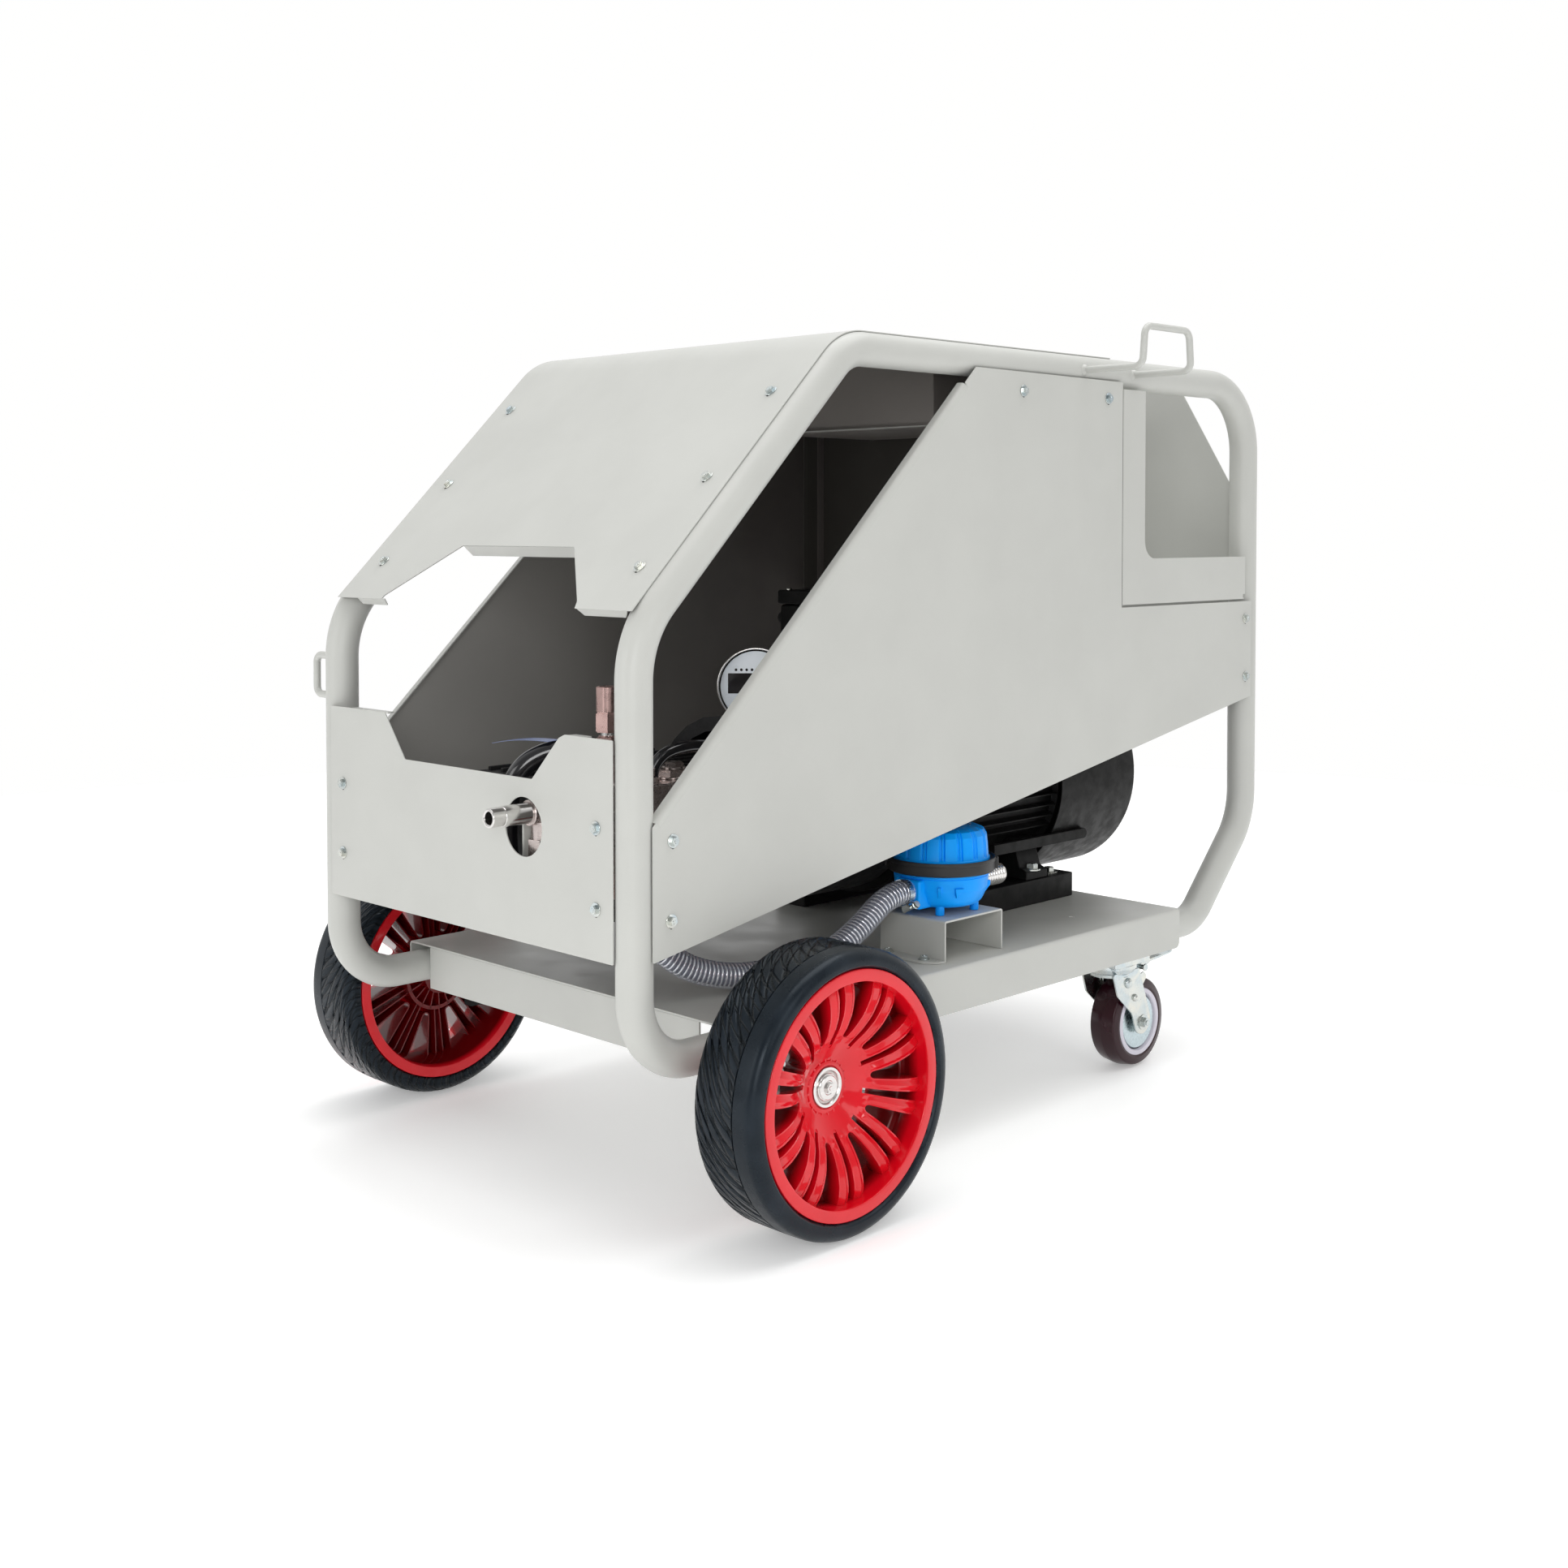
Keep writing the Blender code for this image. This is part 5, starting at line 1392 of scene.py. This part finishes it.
def make_gauge():
    """The digital pressure gauge, with its dial facing the front right corner."""
    radius, place, turn = 0.0565, Vector((0.15, 0.389, 0.675)), math.radians(45)
    out = Vector((math.sin(turn), -math.cos(turn), 0))
    across = Vector((math.cos(turn), math.sin(turn), 0))

    def face_piece(name, bm, look, **more):
        """Place a shape made with its front on z = 0, facing up, on the dial."""
        rows = Matrix((across, Vector((0, 0, 1)), out)).transposed()
        bmesh.ops.rotate(bm, verts=bm.verts, cent=(0, 0, 0), matrix=rows)
        return piece(name, bm, look, place=place, **more)

    case = [(0, -0.034, 0), (radius - 0.012, -0.034, 0.004), (radius - 0.004, -0.03, 0.004),
            (radius - 0.003, -0.008, 0), (radius, -0.006, 0.001), (radius, -0.0006, 0.001),
            (radius - 0.0018, -0.0002, 0.0006), (radius - 0.003, -0.003, 0.0005),
            (radius - 0.0034, -0.006, 0), (0, -0.006, 0)]
    face_piece("gauge_body", turned(rounded(case, 4, closed=False), steps=80, closed=False), STAINLESS,
               stands_for=("gauge_case",), crease=30)
    shade = turned(((radius - 0.0052, -0.0058), (radius - 0.0034, -0.0058), (radius - 0.0034, -0.004),
                    (radius - 0.0052, -0.0046)), steps=80)
    face_piece("gauge_shade", shade, DISPLAY)
    dial = turned(((0, -0.0059), (radius - 0.005, -0.0059), (radius - 0.005, -0.0049),
                   (radius - 0.0057, -0.0046), (0, -0.0046)), steps=80)
    face_piece("gauge_dial", dial, DIAL_WHITE)
    window = [(-0.0405, -0.0105, 0.001), (0.0405, -0.0105, 0.001), (0.0405, 0.019, 0.001),
              (-0.0405, 0.019, 0.001)]
    face_piece("gauge_window", prism(rounded(window, 4), "Z", -0.0047, -0.004), DISPLAY)
    dots = [moved(rod(0.002, -0.0047, -0.0041, "Z", 20), (0.00775 * i - 0.0288, 0.024, 0))
            for i in range(8)]
    face_piece("gauge_lamps", merged(*dots), DISPLAY)
    dots = [moved(rod(0.003, -0.0047, -0.0038, "Z", 24), ((i - 1.5) * 0.0135, -0.0215, 0))
            for i in range(4)]
    face_piece("gauge_keys", merged(*dots), DUST_CAP)
    post = moved(fitting_stack((("hex", 0.013, 0.012), ("round", 0.0085, 0.034), ("hex", 0.012, 0.01),
                                ("round", 0.0085, 0.04))), (0.1245, 0.4145, 0.5604))
    piece("gauge_post", post, NICKEL, crease=30)


# ------------------------------------------------------------------ hoses


def hose_frames(points):
    """(point, across, up) along a route, carried along without twist."""
    frames, across = [], None
    for i, point in enumerate(points):
        ahead = points[min(i + 1, len(points) - 1)] - points[max(i - 1, 0)]
        ahead.normalize()
        if across is None:
            across = ahead.orthogonal().normalized()
        across = (across - ahead * across.dot(ahead)).normalized()
        frames.append((point, across, ahead.cross(across)))
    return frames


def resampled(points, step):
    """Points spaced evenly along a polyline."""
    made, carry = [points[0].copy()], 0.0
    for a, b in zip(points, points[1:]):
        length = (b - a).length
        while carry + length >= step:
            share = (step - carry) / length
            a = a + (b - a) * share
            length *= 1 - share
            made.append(a.copy())
            carry = 0.0
        carry += length
    return made


BYPASS = ((0.0815, 0.147, 0.6), (0.073, 0.147, 0.6), (0.064, 0.147, 0.6), (0.04, 0.136, 0.598),
          (0.014, 0.108, 0.59), (-0.004, 0.084, 0.571), (-0.014, 0.07, 0.537), (-0.012, 0.062, 0.488),
          (0, 0.058, 0.435), (0.03, 0.058, 0.39), (0.075, 0.068, 0.372), (0.104, 0.094, 0.374),
          (0.116, 0.128, 0.388), (0.127, 0.147, 0.407), (0.136, 0.15, 0.411), (0.143, 0.15, 0.411),
          (0.1495, 0.15, 0.411))
GAUGE_LINE = ((0.158, 0.381, 0.616), (0.163, 0.366, 0.602), (0.172, 0.33, 0.598), (0.18, 0.28, 0.6),
              (0.184, 0.225, 0.604), (0.183, 0.185, 0.598), (0.178, 0.168, 0.58), (0.177, 0.165, 0.5612))
SUCTION = ((FILTER_X, 0.5896, PORT_Z), (FILTER_X, 0.576, PORT_Z), (FILTER_X, 0.562, 0.3628),
           (0.268, 0.53, 0.353), (0.266, 0.48, 0.322), (0.262, 0.425, 0.297), (0.256, 0.365, 0.286),
           (0.247, 0.305, 0.2855), (0.234, 0.25, 0.29), (0.216, 0.201, 0.305), (0.199, 0.168, 0.33),
           (0.1902, 0.1555, 0.35), (0.19, 0.155, 0.362), (0.19, 0.155, 0.3746))
HOSE_R = 0.0185


def make_hoses():
    wire("bypass_hose_skin", smooth_route(BYPASS, 8), 0.015, GLOSS_HOSE, resolution=10,
         stands_for=("bypass_hose",))
    wire("gauge_hose_skin", smooth_route(GAUGE_LINE, 8), 0.0088, GLOSS_HOSE, resolution=8,
         stands_for=("gauge_hose",))
    ferrule = moved(fitting_stack((("hex", 0.0105, 0.008), ("round", 0.0088, 0.012))),
                    (0.177, 0.165, 0.5602))
    piece("gauge_line_fitting", ferrule, NICKEL, crease=30)
    route = smooth_route(SUCTION, 10)
    wall = wire("suction_hose_wall", route, HOSE_R, HOSE_WALL, resolution=12,
                stands_for=("suction_hose",))
    wall.visible_shadow = False
    # Painted shade: a dark solid core fills the hose's hollow inside the clear wall.
    wire("suction_hose_shade_core", route[1:-1], HOSE_R - 0.0042, HOSE_SHADE_CORE, resolution=10)
    pitch, step, coil = 0.0064, 0.0004, []
    for i, (point, across, up) in enumerate(hose_frames(resampled(route, step))):
        turn = math.tau * i * step / pitch
        coil.append(point + (across * math.cos(turn) + up * math.sin(turn)) * (HOSE_R - 0.0018))
    wire("suction_hose_helix", coil[4:-4], 0.00165, SPRING_STEEL, resolution=1)
    rings, thick = [], Vector((0, 0, 0.0007))
    for step in range(15):
        share = step / 14
        along = Vector((0.03 - 0.07 * share, 0.112 - 0.05 * share,
                        0.6085 + 0.003 * math.sin(2.6 * share) - 0.006 * share * share))
        width = Vector((0.002, 0.008, 0.001)) * (1.0 if share < 0.4 else 1.35 - 0.95 * share)
        rings.append([along - width, along + width, along + width + thick, along - width + thick])
    piece("hose_tie_strip", solid(rings), STRAP, crease=40)


def clamp_shape(radius, half):
    """A worm-drive clamp: a slotted band, its housing and its screw."""
    parts = [ring(radius, radius + 0.0011, -half, half, "Y", 56)]
    for step in (*range(22), 28, 29):  # no slots under the housing
        slot = block((radius + 0.001, -half * 0.62, -0.0006), (radius + 0.0016, half * 0.62, 0.0006))
        parts.append(moved(slot, angle=math.tau * step / 30, axis="Y"))
    housing = moved(block((-0.008, -half - 0.001, 0.0002), (0.008, half + 0.001, 0.0075)),
                    (0, 0, radius + 0.0008))
    screw = stand(rod(0.0034, -0.015, 0.011, "Z", 24, 0.0006), (0, 0, radius + 0.006), (1, 0, 0))
    head = stand(hex_head(0.0052, 0.0055), (-0.015, 0, radius + 0.006), (-1, 0, 0))
    rim = stand(rod(0.006, 0, 0.0012, "Z", 28), (-0.014, 0, radius + 0.006), (-1, 0, 0))
    return merged(*parts, housing, screw, head, rim)


def make_clamps():
    place = (FILTER_X, 0.579, PORT_Z)
    shape = moved(clamp_shape(HOSE_R + 0.0004, 0.0048), angle=math.radians(152), axis="Y")
    piece("clamp_filter", shape, ZINC, place=place, stands_for=("hose_clamp_filter",), crease=30)
    shape = moved(clamp_shape(HOSE_R + 0.0004, 0.0048), angle=math.radians(90), axis="X")
    piece("clamp_pump", moved(shape, angle=0.6), ZINC, place=INLET_PLACE, crease=30)


# ------------------------------------------------------------------ water filter


def make_filter():
    low, high = span("filter_bracket")
    base, top, thick = low.z, high.z, 0.003
    front, rear = 0.6, high.y
    section = [(front, base, 0), (front + thick, base, 0), (front + thick, top - thick, 0.001),
               (rear - thick, top - thick, 0.001), (rear - thick, base, 0), (rear, base, 0),
               (rear, top, 0.004), (front, top, 0.004)]
    piece("filter_stand", prism(rounded(section, 5), "X", low.x, high.x), POWDER,
          stands_for=("filter_bracket",), bevel=0.0004)
    foot = [(low.x + 0.01, front + 0.001, 0), (high.x, front + 0.001, 0),
            (high.x - 0.002, front - 0.012, 0.01), (high.x - 0.022, low.y, 0.01),
            (low.x + 0.01, low.y, 0.004)]
    piece("filter_stand_foot", prism(rounded(foot, 5), "Z", base, base + thick), POWDER, bevel=0.0004)
    bolts = [stand(bolt_shape(0.006), (x, 0.588, base + thick), (0, 0, 1)) for x in (0.232, 0.302)]
    piece("filter_stand_bolts", merged(*bolts), ZINC, crease=30)

    place = (FILTER_X, FILTER_Y, 0)
    low, high = span("filter_bowl")
    bowl = [(0, 0.334, 0), (0.034, 0.334, 0.01), (0.06, 0.34, 0.02), (0.0705, 0.364, 0.014),
            (0.072, 0.382, 0), (0.0712, 0.3826, 0), (0.0712, 0.3836, 0), (0.0735, 0.3842, 0),
            (0.0735, 0.3895, 0.001), (0.0728, 0.39, 0), (0.0728, 0.3998, 0), (0.066, 0.3998, 0),
            (0.065, 0.366, 0.006), (0.056, 0.35, 0.008), (0, 0.35, 0)]
    piece("filter_cup", turned(rounded(bowl, 6, closed=False), steps=96, closed=False), BLUE, place=place,
          stands_for=("filter_bowl",), crease=32)
    port_front = block((-0.0235, -0.079, 0.3385), (0.0235, -0.045, 0.382))
    piece("filter_port_front", port_front, BLUE, place=place, bevel=0.0035, steps=4)
    rear_port = rod(0.0205, 0.052, 0.0825, "Y", 48, 0.002)
    piece("filter_port_rear", rear_port, BLUE, place=(FILTER_X, FILTER_Y, PORT_Z))
    posts = []
    for angle in (-52, -128, 38, 142):
        spot = Matrix.Rotation(math.radians(angle), 3, "Z") @ Vector((0.05, 0, 0))
        posts.append(moved(rod(0.0068, top + GAP, 0.352, "Z", 32, 0.001), spot))
    piece("filter_posts", merged(*posts), BLUE, place=place, crease=40)
    gussets = []
    for angle in (-52, 38):
        web = prism([(0.048, 0.372), (0.0745, 0.372), (0.0745, 0.366), (0.056, 0.34), (0.048, 0.336)],
                    "Y", -0.0028, 0.0028)
        gussets.append(moved(web, angle=math.radians(angle)))
    piece("filter_gussets", merged(*gussets), BLUE, place=place, bevel=0.0008)
    triangle = prism([(-0.007, 0.37), (0.007, 0.37), (-0.005, 0.356)], "Y", -0.0745, -0.069)
    piece("filter_cup_mark", moved(triangle, angle=math.radians(62)), BLUE, place=place,
          bevel=0.0006)

    low, high = span("filter_clamp_ring")
    outer = (high.x - low.x) / 2
    band = [(0.0738, low.z + 0.001, 0), (outer - 0.0035, low.z, 0.001),
            (outer - 0.001, low.z + 0.0025, 0.001), (outer - 0.001, high.z - 0.0065, 0),
            (outer, high.z - 0.0055, 0.001), (outer, high.z, 0.001), (outer - 0.0025, high.z, 0.001),
            (outer - 0.0035, high.z - 0.003, 0), (0.0738, high.z - 0.0035, 0)]
    piece("filter_band", turned(rounded(band, 3), steps=96), RUBBER, place=place,
          stands_for=("filter_clamp_ring",), crease=35)
    for name, angle in (("right", 38), ("left", 218)):
        lug = block((outer - 0.005, -0.009, low.z + 0.003), (outer + 0.0035, 0.009, high.z - 0.001))
        piece(f"filter_band_lug_{name}", moved(lug, angle=math.radians(angle)), RUBBER, place=place,
              bevel=0.002, steps=3)
    thread = [(0.01, 0.083)]
    for i in range(9):
        y = 0.084 + 0.0062 * i
        thread += [(0.016, y), (0.0172, y + 0.001), (0.0172, y + 0.0034), (0.016, y + 0.0044)]
    thread += [(0.016, 0.1405), (0.015, 0.141), (0.01, 0.141)]
    piece("filter_inlet_thread", turned(thread, "Y", 56), STAINLESS, place=(FILTER_X, FILTER_Y, PORT_Z),
          stands_for=("filter_inlet_fitting",), crease=25)

    # The screw cap: wide flutes with narrow double ribs between them, and a clear vent.
    place = CAP_PLACE
    rise = span("filter_cap")[1].z - place.z
    rings = ((0.0735, 0), (0.0735, 0.0085), (0.072, 0.01), (0.0716, 0.0118), (0.0704, 0.03),
             (0.069, 0.043), (0.064, 0.051), (0.056, rise - 0.0028), (0.04, rise - 0.0008),
             (0, rise - 0.0004))
    rows, steps, flutes = [], 288, 16
    for level, (radius, z) in enumerate(rings[:-1]):
        row = []
        for step in range(steps):
            share = (step / steps * flutes) % 1
            ribbed = 1.0 if share < 0.66 else (0.0 if 0.7 < share < 0.8 or share > 0.92 else 0.75)
            depth = 0.0028 * (1 - ribbed) if 3 <= level <= 6 else 0.0
            if level == 7:
                depth = 0.0012 * (1 - ribbed)
            angle = math.tau * step / steps
            reach = radius - depth
            row.append((reach * math.cos(angle), reach * math.sin(angle), z))
        rows.append(row)
    hollow = [[(radius * math.cos(math.tau * i / steps), radius * math.sin(math.tau * i / steps), z)
               for i in range(steps)] for radius, z in ((0.06, 0.04), (0.066, 0))]
    piece("filter_lid", solid(hollow + rows), BLUE, "filter_cap", place, ("filter_cap",), crease=24)
    boss = moved(fitting_stack((("round", 0.024, 0.003), ("round", 0.02, 0.002))), (0, 0, rise - 0.0014))
    piece("filter_lid_boss", boss, BLUE, "filter_cap", place, crease=40)
    vent = turned(((0, rise), (0.015, rise), (0.015, rise + 0.01), (0.013, rise + 0.013),
                   (0, rise + 0.014)), steps=48, closed=False)
    piece("filter_vent", vent, CLEAR, "filter_cap", place, crease=35)
    knob = moved(fitting_stack((("hex", 0.0075, 0.008), ("round", 0.006, 0.012))),
                 (0.03, 0.024, rise - 0.001))
    piece("filter_bleed_screw", knob, CLEAR, "filter_cap", place, crease=30)
    recoat(STAINLESS, "filter_element")


# ------------------------------------------------------------------ the whole machine


make_camera()
make_light()
make_floor()
for make in (make_loops, make_tray, make_front_panel, make_hood, make_side_panels, make_bin,
             make_rear_panel, make_control_box, make_hooks, make_bolts, make_running_gear, make_motor,
             make_cowl, make_terminal_box, make_pump, make_outlet, make_relief_valve, make_gauge,
             make_hoses, make_clamps, make_filter):
    make()
